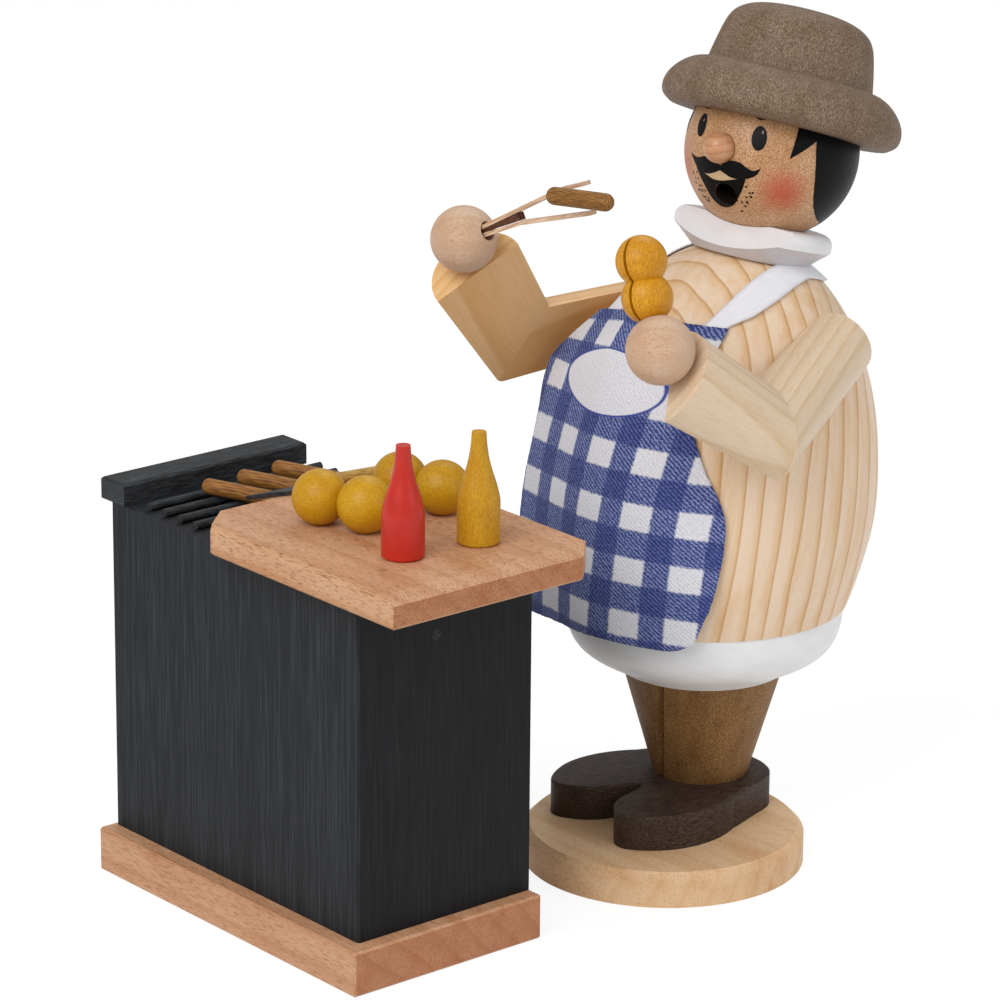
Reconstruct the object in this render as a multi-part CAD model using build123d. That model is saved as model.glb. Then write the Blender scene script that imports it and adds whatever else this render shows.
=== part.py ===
from build123d import *
from math import atan2, cos, degrees, radians, sin
import os

os.makedirs("parts", exist_ok=True)

# An incense smoker turned and sawn from wood: a sausage seller on a round foot
# board, and his grill stand in front of him. Lengths are in millimetres and
# angles in degrees. The origin is the centre of the foot board's underside,
# +Z is up, and the figure looks toward -Y, so that its left hand is at +X.

# Clearances and cuts
OVERRUN = 2.0
GLUE_GAP = 0.1
PEG_GAP = 0.05
RUNNING_GAP = 0.3
REST_FLAT = 0.3

# Foot board
BOARD_RADIUS = 32.1
BOARD_THICK = 8.0
BOARD_BEVEL = 1.6

# Legs: their axis is also the axis on which the upper body turns
LEGS_X = -4.57
LEGS_Y = 15.33
LEGS_FOOT_RADIUS = 10.9
LEGS_TOP_RADIUS = 18.5
LEGS_HEIGHT = 26.0

# Shoes, one sawn board with the outline of a pair
SHOE_LENGTH = 47.6
SHOE_HALF_WIDTH = 21.4
SHOE_HEEL_BACK = 14.6
SHOE_THICK = 8.0
SHOE_ROUND = 0.5
SHOE_TURN = -3.4
shoe_inner_shares = [(0.664, 0.0), (0.773, 0.112), (0.893, 0.21), (0.956, 0.346)]
shoe_toe_shares = [(1.0, 0.56), (0.924, 0.813), (0.733, 1.0), (0.508, 0.953), (0.4, 0.84)]
shoe_heel_shares = [(0.197, 0.668), (0.065, 0.523), (0.006, 0.29), (0.0, 0.0)]

# Dowel through foot board and shoes into the legs
LEG_DOWEL_RADIUS = 4.0
LEG_DOWEL_IN_BOARD = 5.0
LEG_DOWEL_IN_LEGS = 14.0

# Hem of the shirt: a turned bowl with a spigot for the body and a cup for the dish
HEM_HEIGHT = 16.0
HEM_RADIUS = 31.7
HEM_SHOULDER_HEIGHT = 6.0
HEM_SHOULDER_RADIUS = 29.1
HEM_FOOT_RADIUS = 19.6
SPIGOT_RADIUS = 21.7
SPIGOT_HEIGHT = 6.0
SPIGOT_EASE = 0.8
CUP_RADIUS = 15.0
CUP_DEPTH = 14.0
AIR_HOLE_RADIUS = 1.5
AIR_HOLE_COUNT = 3
AIR_HOLE_SLOPE_ANGLE = 32.0
AIR_HOLE_START_ANGLE = 40.0

# Sheet metal dish for the incense cone, and the tack that holds it
DISH_RADIUS = 12.0
DISH_RIM = 2.4
DISH_SHEET = 0.8
DISH_FLARE = 1.2
TACK_RADIUS = 0.8
TACK_LENGTH = 5.0
TACK_HEAD_RADIUS = 1.8
TACK_HEAD_HEIGHT = 0.7

# Body: turned egg that leans back, hollow from below as the smoke chamber
BODY_LEAN = 7.85
BODY_FORWARD = 0.74
BELLY_RADIUS = 36.48
BELLY_LEVEL = 23.96
BODY_TOP_REACH = 58.6
BODY_FOOT_REACH = 74.9
TOP_FULLNESS = 2.06
FOOT_FULLNESS = 1.526
CHAMBER_STRAIGHT = 34.0
FLUE_RADIUS = 3.5

# Neck: a second lean, on which collar, head and hat sit
NECK_SINK = 3.36
NECK_BACK = 1.0
NECK_LEAN = 15.8
SEAT_CUT = 30.0
TENON_RADIUS = 5.0
TENON_IN_BODY = 10.0
SMOKE_BORE_RADIUS = 2.75

# Collar
COLLAR_FOOT_RADIUS = 13.0
COLLAR_RADIUS = 18.0
COLLAR_HEIGHT = 8.0
COLLAR_RIM = 3.6
COLLAR_EDGE = 2.3
COLLAR_SCOOP_LIP = 2.3
COLLAR_SCOOP_ANGLE = 42.0
COLLAR_SCOOP_REACH = 14.3

# Head
HEAD_RADIUS = 19.6
HEAD_STAND = 24.1
HEAD_TURN = 16.4
MOUTH_DROP = 34.3
NOSE_RADIUS = 3.5
NOSE_STAND = 20.6
NOSE_SWING = -5.2
NOSE_DROP = 3.2
NOSE_PEG_RADIUS = 1.2
NOSE_PEG_LENGTH = 5.0

# Hat
HAT_HEIGHT = 32.2
HAT_BRIM_RADIUS = 27.4
HAT_TILT = 5.8
HAT_TILT_ROUND = 19.0
hat_crown_shares = [(0.0, 1.0), (0.241, 0.994), (0.38, 0.975), (0.496, 0.938), (0.573, 0.885), (0.613, 0.823),
                    (0.639, 0.748), (0.668, 0.637), (0.69, 0.534)]
hat_brim_shares = [(0.69, 0.534), (0.781, 0.516), (0.865, 0.475), (0.942, 0.41), (0.989, 0.337), (1.0, 0.273),
                   (0.974, 0.211), (0.927, 0.18), (0.825, 0.165)]

# Arms: half-round tapered sticks, mitred at the elbow, flat side to the body
ELBOW_ANGLE = 120.5
ELBOW_WIDTH = 18.9
CUFF_WIDTH = 22.0
SHOULDER_WIDTH = 16.1
FOREARM_LENGTH = 28.3
UPPER_ARM_LENGTH = 38.2
SHOULDER_REACH = 29.3
ELBOW_ROUND = 2.4
SHOULDER_ROUND = 2.0
ARM_PEG_RADIUS = 1.5
ARM_PEG_IN_ARM = 5.0
ARM_PEG_IN_BODY = 6.0
LEFT_ARM = {"side": 1, "round": 89.6, "rise_share": 0.6287, "droop": 58.6, "yaw": 5.5, "tip": -4.2, "inset": 0.26}
RIGHT_ARM = {"side": -1, "round": -82.4, "rise_share": 0.598, "droop": 70.0, "yaw": -12.7, "tip": 0.7, "inset": 0.3}

# Hands
HAND_RADIUS = 7.5
HAND_STAND = 7.25
HAND_INWARD = 1.7
HAND_OUTWARD = 4.0
WRIST_PEG_RADIUS = 1.5
WRIST_PEG_LENGTH = 14.0

# Tongs in the right hand: two bent strips, a wedge between them, and a sausage
TONGS_ROUND = 12.96
TONGS_RISE = 24.15
STRIP_WIDE = 2.4
STRIP_THICK = 0.9
UPPER_STRIP = [(2.6, 0.3), (31.2, 2.9), (38.0, 2.4)]
LOWER_STRIP = [(2.6, -0.15), (17.5, -0.3), (36.9, -3.2)]
WEDGE_TIP = 17.7
TONGS_HOLE_RADIUS = 2.2
TONGS_HOLE_DEEP = 5.4
SAUSAGE_RADIUS = 2.0
HELD_SAUSAGE_LENGTH = 17.4
HELD_SAUSAGE_AT = 37.3
HELD_SAUSAGE_TURN = 21.0

# Double bun on the left hand
HELD_BUN_RADIUS = 5.6
HELD_BUN_SPACING = 8.0
HELD_BUN_STAND = 12.3
HELD_BUN_SEAT_ROUND = -110.0
HELD_BUN_SEAT_LEAN = 40.5
HELD_BUN_ROUND = -97.0
HELD_BUN_LEAN = 17.6
BUN_SLOT_TURN = 17.0
BUN_SLOT_WIDE = 0.7
BUN_SLOT_DEEP = 3.4
BUN_PEG_RADIUS = 1.0
BUN_PEG_LENGTH = 9.0

# Apron: cloth wrapped round the belly, its right edge standing free
APRON_THICK = 0.8
APRON_STAND = 0.5
APRON_FREE_ANGLE = 15.0
APRON_FREE_LENGTH = 27.0
APRON_WRAP_ANGLE = 58.0
APRON_HANG = 0.45
APRON_RISE_SHARE = 0.7208
APRON_WIDTH = 64.0
APRON_SHIFT = -0.6
apron_level_shares = [-0.19, 0.0, 0.17, 0.36, 0.55, 0.74, 0.92, 1.08]
apron_right_shares = [(-0.28, 1.0), (-0.42, 0.88), (-0.475, 0.72), (-0.45, 0.59), (-0.475, 0.38), (-0.49, 0.2)]
apron_foot_shares = [(-0.455, 0.0), (-0.34, -0.085), (0.0, -0.095), (0.22, -0.07)]
apron_left_shares = [(0.36, 0.0), (0.42, 0.1), (0.455, 0.32), (0.42, 0.45), (0.34, 0.66), (0.305, 0.83),
                     (0.29, 1.0)]

# Ribbon that holds the apron round the neck
RIBBON_THICK = 0.5
RIBBON_STAND = 0.35
RIBBON_INNER = 13.7
RIBBON_WIDE = 5.6
RIBBON_BACK = 2.0

# Grill stand
STAND_LEFT_X = -73.1
STAND_FRONT_Y = -105.5
STAND_BASE_LENGTH = 93.0
STAND_BASE_DEPTH = 52.2
STAND_BASE_THICK = 10.3
BLOCK_LENGTH = 88.1
BLOCK_DEPTH = 48.0
BLOCK_HEIGHT = 76.7
BLOCK_IN_LEFT = 1.1
BLOCK_IN_FRONT = 4.1
STAND_EDGE = 0.5

# Rail and rods of the grill
RAIL_LENGTH = 50.9
RAIL_WIDE = 8.6
RAIL_THICK = 5.0
RAIL_OVERHANG = 3.7
ROD_RADIUS = 0.95
ROD_LENGTH = 47.7
ROD_COUNT = 4
ROD_PITCH = 5.65
ROD_FROM_LEFT = 10.9
ROD_IN_FRONT = 2.5

# Sausages on the rods, and the knife on the worktop with its blade over them
GRILL_SAUSAGE_RADIUS = 1.8
GRILL_SAUSAGE_LENGTH = 23.0
GRILL_SAUSAGE_TURN = 19.0
GRILL_SAUSAGE_COUNT = 3
GRILL_SAUSAGE_PITCH = 10.1
GRILL_SAUSAGE_DRIFT = -0.55
GRILL_SAUSAGE_X = 12.9
GRILL_SAUSAGE_Y = 15.8
KNIFE_FROM_LEFT = 34.1
KNIFE_TIP_IN = 11.6
KNIFE_TURN = -9.0
BLADE_LENGTH = 22.3
BLADE_WIDE = 3.2
BLADE_THICK = 1.0
BLADE_SHOULDER_SHARE = 0.45
KNIFE_HANDLE_RADIUS = 1.35
KNIFE_HANDLE_LENGTH = 13.5
KNIFE_TANG = 2.0

# Worktop
WORKTOP_LENGTH = 69.8
WORKTOP_DEPTH = 56.4
WORKTOP_THICK = 6.5
WORKTOP_FROM_LEFT = 36.3
WORKTOP_OVERHANG = 5.0
WORKTOP_CLIP_LONG = 8.1
WORKTOP_CLIP_SHORT = 7.2
WORKTOP_BACK_CLIP = 5.0
WORKTOP_BEVEL = 1.2
WORKTOP_END_BEVEL = 4.5
WORKTOP_FOOT_BEVEL = 0.6

# Double buns: distance of the middle from the worktop's left front corner,
# the two balls' radii, and the turn from +X
BUN_WAIST_OVERLAP = 1.0
FRONT_BUN = {"x": 25.1, "y": 22.0, "radii": (6.1, 6.25), "turn": 21.4}
BACK_BUN = {"x": 25.6, "y": 43.1, "radii": (6.0, 6.05), "turn": 17.1}

# Bottles
BOTTLE_RADIUS = 4.65
BOTTLE_HEIGHT = 24.6
BOTTLE_EDGE = 0.5
RED_BOTTLE_X = 48.6
RED_BOTTLE_Y = 19.6
YELLOW_BOTTLE_X = 51.1
YELLOW_BOTTLE_Y = 38.1
bottle_side_shares = [(1.0, 0.36), (0.95, 0.44), (0.86, 0.51), (0.61, 0.66), (0.44, 0.8), (0.365, 0.91),
                      (0.335, 1.0)]

# Places worked out from the sizes
SHOE_LEVEL = BOARD_THICK
LEGS_LEVEL = SHOE_LEVEL + SHOE_THICK
HEM_LEVEL = LEGS_LEVEL + LEGS_HEIGHT
SEAM_LEVEL = HEM_LEVEL + HEM_HEIGHT
CUP_LEVEL = SEAM_LEVEL + SPIGOT_HEIGHT - CUP_DEPTH
CHAMBER_RADIUS = SPIGOT_RADIUS + RUNNING_GAP
NECK_LEVEL = BELLY_LEVEL + BODY_TOP_REACH - NECK_SINK
APRON_TOP = BELLY_LEVEL + APRON_RISE_SHARE * BODY_TOP_REACH
STAND_TOP = STAND_BASE_THICK + BLOCK_HEIGHT
BLOCK_LEFT_X = STAND_LEFT_X + BLOCK_IN_LEFT
BLOCK_FRONT_Y = STAND_FRONT_Y + BLOCK_IN_FRONT
ROD_LEVEL = STAND_TOP + ROD_RADIUS + GLUE_GAP
SAUSAGE_LEVEL = ROD_LEVEL + ROD_RADIUS + GLUE_GAP + GRILL_SAUSAGE_RADIUS
WORKTOP_LEVEL = STAND_TOP + WORKTOP_THICK
KNIFE_LEVEL = WORKTOP_LEVEL + GLUE_GAP
WORKTOP_X = BLOCK_LEFT_X + WORKTOP_FROM_LEFT
WORKTOP_Y = BLOCK_FRONT_Y - WORKTOP_OVERHANG

# Frames: in each of them -Y is the front and +X the figure's left
LEGS = Location((LEGS_X, LEGS_Y, 0))
BODY = Location((LEGS_X, LEGS_Y - BODY_FORWARD, SEAM_LEVEL), (-BODY_LEAN, 0, 0))
NECK = BODY * Location((0, NECK_BACK, NECK_LEVEL), (BODY_LEAN - NECK_LEAN, 0, 0))
HEAD = NECK * Location((0, 0, HEAD_STAND), (0, 0, HEAD_TURN))


def save(name, solid):
    """Label a sub-part and write it to its own file."""
    solid.label = name
    export_step(solid, f"parts/{name}.step")
    return solid


def turned(outline):
    """Solid of revolution about Z from a closed outline in the XZ plane."""
    return revolve(make_face(Plane.XZ * outline), Axis.Z)


def ball(radius, centre):
    """Ball of a radius at a location."""
    return centre * Sphere(radius)


def peg(radius, low, high):
    """Round peg along Z from one level to another."""
    return Pos(0, 0, low) * Cylinder(radius, high - low, align=(Align.CENTER, Align.CENTER, Align.MIN))


def capsule(radius, length):
    """Sausage along X with round ends, about its middle."""
    straight = length / 2 - radius
    ends = Pos(straight, 0, 0) * Sphere(radius) + Pos(-straight, 0, 0) * Sphere(radius)
    return ends + Rot(0, 90, 0) * Cylinder(radius, 2 * straight)


# Lower part of the figure

def base_disc():
    """Round foot board with a bevelled top edge and the dowel's blind hole."""
    board = peg(BOARD_RADIUS, 0, BOARD_THICK)
    board = chamfer(board.edges().group_by(Axis.Z)[-1], BOARD_BEVEL)
    floor = BOARD_THICK - LEG_DOWEL_IN_BOARD
    return board - LEGS * peg(LEG_DOWEL_RADIUS + PEG_GAP, floor, BOARD_THICK + OVERRUN)


def shoe_point(share):
    """Point of the shoes' outline: forward is -Y, one half on the +X side."""
    along, across = share
    return (across * SHOE_HALF_WIDTH, SHOE_HEEL_BACK - along * SHOE_LENGTH)


def shoes():
    """Sawn board with a notch between the toes and a waist before the heels."""
    inner = [shoe_point(share) for share in shoe_inner_shares]
    toe = [shoe_point(share) for share in shoe_toe_shares]
    heel = [shoe_point(share) for share in shoe_heel_shares]
    side = Spline(inner + toe)
    back = Spline([toe[-1]] + heel, tangents=[(toe[-1][0] - toe[-2][0], SHOE_LENGTH), (-1, 0)],
                  tangent_scalars=[0.3, 1.0])
    centre = Line(heel[-1], inner[0])
    half = make_face([side, back, centre])
    board = extrude(half, SHOE_THICK) + extrude(mirror(half, Plane.YZ), SHOE_THICK)
    board = chamfer(board.edges().group_by(Axis.Z)[-1], SHOE_ROUND)
    board = board - peg(LEG_DOWEL_RADIUS + PEG_GAP, -OVERRUN, SHOE_THICK + OVERRUN)
    return LEGS * Pos(0, 0, SHOE_LEVEL) * Rot(0, 0, SHOE_TURN) * board


def legs():
    """Turned trousers, a plain cone bored for the dowel."""
    cone = Cone(LEGS_FOOT_RADIUS, LEGS_TOP_RADIUS, LEGS_HEIGHT,
                align=(Align.CENTER, Align.CENTER, Align.MIN))
    cone = cone - peg(LEG_DOWEL_RADIUS + PEG_GAP, -OVERRUN, LEG_DOWEL_IN_LEGS)
    return LEGS * Pos(0, 0, LEGS_LEVEL) * cone


def leg_dowel():
    """Hidden dowel through foot board and shoes into the legs."""
    low = BOARD_THICK - LEG_DOWEL_IN_BOARD + GLUE_GAP
    return LEGS * peg(LEG_DOWEL_RADIUS, low, LEGS_LEVEL + LEG_DOWEL_IN_LEGS - GLUE_GAP)


def hem_bowl():
    """White bowl with spigot, cup and slanted air holes that end in the cup."""
    side = Spline((HEM_FOOT_RADIUS, 0), (HEM_SHOULDER_RADIUS, HEM_SHOULDER_HEIGHT), (HEM_RADIUS, HEM_HEIGHT),
                  tangents=[(1, 0.75), (0, 1)])
    top = Polyline((HEM_RADIUS, HEM_HEIGHT), (SPIGOT_RADIUS, HEM_HEIGHT),
                   (SPIGOT_RADIUS, HEM_HEIGHT + SPIGOT_HEIGHT - SPIGOT_EASE),
                   (SPIGOT_RADIUS - SPIGOT_EASE, HEM_HEIGHT + SPIGOT_HEIGHT),
                   (0, HEM_HEIGHT + SPIGOT_HEIGHT), (0, 0), (HEM_FOOT_RADIUS, 0))
    bowl = turned(side + top)
    cup_floor = HEM_HEIGHT + SPIGOT_HEIGHT - CUP_DEPTH
    bowl = bowl - peg(CUP_RADIUS, cup_floor, HEM_HEIGHT + SPIGOT_HEIGHT + OVERRUN)
    bowl = bowl - peg(TACK_RADIUS + PEG_GAP, cup_floor - TACK_LENGTH - GLUE_GAP, cup_floor + OVERRUN)
    for turn in range(AIR_HOLE_COUNT):
        start = Rot(0, 0, AIR_HOLE_START_ANGLE + turn * 360 / AIR_HOLE_COUNT)
        start = start * Pos(DISH_RADIUS, 0, cup_floor + DISH_RIM)
        bowl = bowl - start * Rot(0, 90 + AIR_HOLE_SLOPE_ANGLE, 0) * peg(AIR_HOLE_RADIUS, 0, HEM_RADIUS)
    return LEGS * Pos(0, 0, HEM_LEVEL) * bowl


def cone_dish():
    """Pressed metal dish with a flared rim, loose on its tack."""
    outline = Polyline((TACK_RADIUS + PEG_GAP, 0), (DISH_RADIUS - DISH_FLARE, 0), (DISH_RADIUS, DISH_RIM),
                       (DISH_RADIUS - DISH_SHEET, DISH_RIM), (DISH_RADIUS - DISH_FLARE - DISH_SHEET / 2, DISH_SHEET),
                       (TACK_RADIUS + PEG_GAP, DISH_SHEET), close=True)
    return LEGS * Pos(0, 0, CUP_LEVEL) * turned(outline)


def dish_tack():
    """Round-headed tack that holds the dish in the cup."""
    tack = peg(TACK_RADIUS, -TACK_LENGTH, DISH_SHEET + RUNNING_GAP + GLUE_GAP)
    tack = tack + peg(TACK_HEAD_RADIUS, DISH_SHEET + RUNNING_GAP, DISH_SHEET + RUNNING_GAP + TACK_HEAD_HEIGHT)
    return LEGS * Pos(0, 0, CUP_LEVEL) * tack


# Body

def body_radius(level):
    """Radius of the turned body at a level along its own axis."""
    if level < BELLY_LEVEL:
        share = (BELLY_LEVEL - level) / BODY_FOOT_REACH
        fullness = FOOT_FULLNESS
    else:
        share = min((level - BELLY_LEVEL) / BODY_TOP_REACH, 1)
        fullness = TOP_FULLNESS
    return BELLY_RADIUS * (1 - share ** fullness) ** (1 / fullness)


def body_slope(level):
    """Change of the body's radius per length along its axis."""
    share = (level - BELLY_LEVEL) / BODY_TOP_REACH
    rest = 1 - share ** TOP_FULLNESS
    steepness = share ** (TOP_FULLNESS - 1) * rest ** (1 / TOP_FULLNESS - 1)
    return -BELLY_RADIUS / BODY_TOP_REACH * steepness


def egg(stand):
    """The body's egg, grown outward by a distance, with its pole on top."""
    foot = BELLY_LEVEL - BODY_FOOT_REACH / 2
    low_levels = [foot + (BELLY_LEVEL - foot) * step / 4 for step in range(5)]
    high_levels = [BELLY_LEVEL + BODY_TOP_REACH * sin(radians(90 * step / 8)) for step in range(1, 8)]
    points = [(body_radius(level) + stand, level) for level in low_levels]
    for level in high_levels:
        lean = atan2(-body_slope(level), 1)
        points.append((body_radius(level) + stand * cos(lean), level + stand * sin(lean)))
    pole = (0, BELLY_LEVEL + BODY_TOP_REACH + stand)
    side = Spline(points + [pole], tangents=[(0.45, 1), (-1, 0)])
    rest = Polyline(pole, (0, foot), points[0])
    return turned(side + rest)


def torso():
    """Egg cut at the seam and the collar's seat, with chamber, flue and arm flats."""
    solid = BODY * egg(0)
    reach = 2 * BELLY_RADIUS
    below = Pos(LEGS_X, LEGS_Y, SEAM_LEVEL) * Box(2 * reach, 2 * reach, reach,
                                                  align=(Align.CENTER, Align.CENTER, Align.MAX))
    above = NECK * Box(SEAT_CUT, SEAT_CUT, SEAT_CUT, align=(Align.CENTER, Align.CENTER, Align.MIN))
    solid = solid - below - above
    dome = LEGS * Pos(0, 0, SEAM_LEVEL + CHAMBER_STRAIGHT) * Sphere(CHAMBER_RADIUS)
    chamber = LEGS * peg(CHAMBER_RADIUS, SEAM_LEVEL - OVERRUN, SEAM_LEVEL + CHAMBER_STRAIGHT)
    solid = solid - (chamber + dome)
    solid = solid - NECK * peg(FLUE_RADIUS, -CHAMBER_RADIUS, 0)
    solid = solid - NECK * peg(TENON_RADIUS + PEG_GAP, -TENON_IN_BODY, OVERRUN)
    for arm in (LEFT_ARM, RIGHT_ARM):
        flat = Box(UPPER_ARM_LENGTH, UPPER_ARM_LENGTH, UPPER_ARM_LENGTH,
                   align=(Align.CENTER, Align.CENTER, Align.MIN))
        solid = solid - shoulder(arm) * flat
        solid = solid - shoulder(arm) * peg(ARM_PEG_RADIUS + PEG_GAP, -ARM_PEG_IN_BODY, OVERRUN)
    return solid


def collar():
    """Turned ring, hollowed for the head, its front sliced at a slant."""
    outline = Polyline((0, 0), (COLLAR_FOOT_RADIUS, 0), (COLLAR_RADIUS, COLLAR_HEIGHT - COLLAR_RIM),
                       (COLLAR_RADIUS, COLLAR_HEIGHT), (0, COLLAR_HEIGHT), close=True)
    ring = turned(outline)
    ring = fillet(ring.edges().filter_by(GeomType.CIRCLE).group_by(Axis.Z)[-1], COLLAR_EDGE)
    slice_plane = Rot(0, 0, HEAD_TURN) * Pos(0, -COLLAR_SCOOP_REACH, COLLAR_SCOOP_LIP)
    slice_plane = slice_plane * Rot(COLLAR_SCOOP_ANGLE, 0, 0)
    ring = ring - slice_plane * Box(4 * COLLAR_RADIUS, 4 * COLLAR_RADIUS, COLLAR_RADIUS,
                                    align=(Align.CENTER, Align.CENTER, Align.MIN))
    ring = ring - ball(HEAD_RADIUS + GLUE_GAP, Pos(0, 0, HEAD_STAND))
    ring = ring - peg(TENON_RADIUS + PEG_GAP, -OVERRUN, COLLAR_HEIGHT + OVERRUN)
    return NECK * ring


# Head and hat

def nose_direction():
    """Location at the head's centre with Z toward the nose."""
    return Rot(0, 0, NOSE_SWING) * Rot(90 + NOSE_DROP, 0, 0)


def head():
    """Ball with tenon; the smoke comes up the tenon and out of the bored mouth."""
    ball_and_tenon = Sphere(HEAD_RADIUS) + peg(TENON_RADIUS, -HEAD_STAND - TENON_IN_BODY + GLUE_GAP, 0)
    solid = ball_and_tenon - peg(SMOKE_BORE_RADIUS, -HEAD_STAND - TENON_IN_BODY - OVERRUN, 0)
    solid = solid - ball(SMOKE_BORE_RADIUS, Pos(0, 0, 0))
    solid = solid - Rot(90 + MOUTH_DROP, 0, 0) * peg(SMOKE_BORE_RADIUS, 0, HEAD_RADIUS + OVERRUN)
    toward_nose = nose_direction()
    solid = solid - toward_nose * ball(NOSE_RADIUS + GLUE_GAP, Pos(0, 0, NOSE_STAND))
    peg_foot = NOSE_STAND - NOSE_RADIUS - NOSE_PEG_LENGTH
    solid = solid - toward_nose * peg(NOSE_PEG_RADIUS + PEG_GAP, peg_foot - GLUE_GAP, HEAD_RADIUS)
    return HEAD * solid


def nose():
    """Small ball on a peg."""
    peg_foot = NOSE_STAND - NOSE_RADIUS - NOSE_PEG_LENGTH
    solid = ball(NOSE_RADIUS, Pos(0, 0, NOSE_STAND)) + peg(NOSE_PEG_RADIUS, peg_foot, NOSE_STAND)
    return HEAD * nose_direction() * solid


def hat():
    """Turned hat: domed crown, creased above a thick round brim, hollow for the head."""
    crown = [(across * HAT_BRIM_RADIUS, up * HAT_HEIGHT) for across, up in hat_crown_shares]
    brim = [(across * HAT_BRIM_RADIUS, up * HAT_HEIGHT) for across, up in hat_brim_shares]
    dome = Spline(crown, tangents=[(1, 0), (0.16, -1)])
    edge = Spline(brim, tangents=[(1, -0.15), (-1, 0)])
    under = Polyline(brim[-1], (0, brim[-1][1]), crown[0])
    solid = turned(dome + edge + under) - Sphere(HEAD_RADIUS + GLUE_GAP)
    tilt = Rot(0, 0, HAT_TILT_ROUND) * Rot(-HAT_TILT, 0, 0)
    return HEAD * tilt * solid


# Arms and hands

def shoulder(arm):
    """Location of the glue spot on the body: Z points out of it, Y up along it."""
    level = BELLY_LEVEL + arm["rise_share"] * BODY_TOP_REACH
    slope = body_slope(level)
    spot = BODY * Rot(0, 0, arm["round"]) * Pos(0, -body_radius(level), level)
    facing = spot * Rot(90 - degrees(atan2(-slope, 1)), 0, 0)
    return facing * Rot(0, arm["yaw"], 0) * Rot(arm["tip"], 0, 0) * Pos(0, 0, -arm["inset"])


def elbow(arm):
    """Location of the elbow: X along the forearm to the hand, Z out of the flat side."""
    side = arm["side"]
    droop = radians(arm["droop"])
    toward_elbow = (-side * sin(droop), -cos(droop))
    place = Pos(SHOULDER_REACH * toward_elbow[0], SHOULDER_REACH * toward_elbow[1], 0)
    upper_arm_turn = degrees(atan2(-toward_elbow[1], -toward_elbow[0]))
    return shoulder(arm) * place * Rot(0, 0, upper_arm_turn + side * ELBOW_ANGLE)


def half_cone(length, far_width):
    """Half of a tapered round stick along X, flat on Z = 0, reaching past the elbow."""
    back = ELBOW_WIDTH / 2
    slope = (far_width - ELBOW_WIDTH) / 2 / length
    outline = Polygon((-back, 0), (length, 0), (length, far_width / 2), (-back, back - slope * back), align=None)
    return revolve(outline, Axis.X, 180)


def crossing(first, second):
    """Point where two lines meet, each given as a point and a direction."""
    (ax, ay), (ux, uy) = first
    (bx, by), (vx, vy) = second
    share = ((bx - ax) * vy - (by - ay) * vx) / (ux * vy - uy * vx)
    return (ax + share * ux, ay + share * uy)


def arm_plan(side):
    """Outline of the bent arm in its flat plane, with the elbow and shoulder rounded."""
    bend = radians(-side * ELBOW_ANGLE)
    along = (cos(bend), sin(bend))
    across = (-sin(bend), cos(bend))

    def upper(distance, sideways):
        return (along[0] * distance + across[0] * sideways, along[1] * distance + across[1] * sideways)

    def edge(sign):
        """Forearm line and upper arm line on one side of the bend."""
        forearm = (0, sign * ELBOW_WIDTH / 2), (FOREARM_LENGTH, sign * CUFF_WIDTH / 2)
        upper_arm = upper(0, -sign * ELBOW_WIDTH / 2), upper(UPPER_ARM_LENGTH, -sign * SHOULDER_WIDTH / 2)
        return forearm, upper_arm

    corners = []
    for sign in (side, -side):
        forearm, upper_arm = edge(sign)
        first = forearm[0], (forearm[1][0] - forearm[0][0], forearm[1][1] - forearm[0][1])
        second = upper_arm[0], (upper_arm[1][0] - upper_arm[0][0], upper_arm[1][1] - upper_arm[0][1])
        corners.append((forearm[1], crossing(first, second), upper_arm[1]))
    (cuff_out, elbow_out, shoulder_out), (cuff_in, elbow_in, shoulder_in) = corners
    plan = make_face(Polyline(cuff_out, elbow_out, shoulder_out, shoulder_in, elbow_in, cuff_in, close=True))
    rounded = [vertex for vertex in plan.vertices() if (Vector(*elbow_out) - Vector(vertex)).length < ELBOW_ROUND]
    plan = fillet(rounded, ELBOW_ROUND)
    ends = [vertex for vertex in plan.vertices()
            if min((Vector(*point) - Vector(vertex)).length for point in (shoulder_out, shoulder_in)) < GLUE_GAP]
    return fillet(ends, SHOULDER_ROUND)


def arm_pieces(arm):
    """Forearm and upper arm of one side, mitred against each other."""
    side = arm["side"]
    half_bend = (180 - ELBOW_ANGLE) / 2
    mitre = Plane(origin=(0, 0, 0), z_dir=(cos(radians(half_bend)), side * sin(radians(half_bend)), 0))
    prism = extrude(arm_plan(side), CUFF_WIDTH)
    forearm = split(half_cone(FOREARM_LENGTH, CUFF_WIDTH), mitre, keep=Keep.TOP) & prism
    upper_arm = Rot(0, 0, -side * ELBOW_ANGLE) * half_cone(UPPER_ARM_LENGTH, SHOULDER_WIDTH)
    upper_arm = split(upper_arm, mitre, keep=Keep.BOTTOM) & prism
    spot = Rot(0, 0, -side * ELBOW_ANGLE) * Pos(SHOULDER_REACH, 0, 0)
    upper_arm = upper_arm - spot * peg(ARM_PEG_RADIUS + PEG_GAP, -OVERRUN, ARM_PEG_IN_ARM)
    forearm = forearm - hand_place(side) * wrist_hole()
    return elbow(arm) * forearm, elbow(arm) * upper_arm


def arm_dowel(arm):
    """Hidden dowel between body and upper arm."""
    return shoulder(arm) * peg(ARM_PEG_RADIUS, GLUE_GAP - ARM_PEG_IN_BODY, ARM_PEG_IN_ARM - GLUE_GAP)


def hand_place(side):
    """Hand's centre in the elbow's frame, X pointing on along the forearm."""
    return Pos(FOREARM_LENGTH + HAND_STAND, -side * HAND_INWARD, HAND_OUTWARD)


def wrist_hole():
    """Hole for the wrist dowel, about the hand's centre."""
    return Rot(0, -90, 0) * peg(WRIST_PEG_RADIUS + PEG_GAP, -PEG_GAP, WRIST_PEG_LENGTH + GLUE_GAP)


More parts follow.
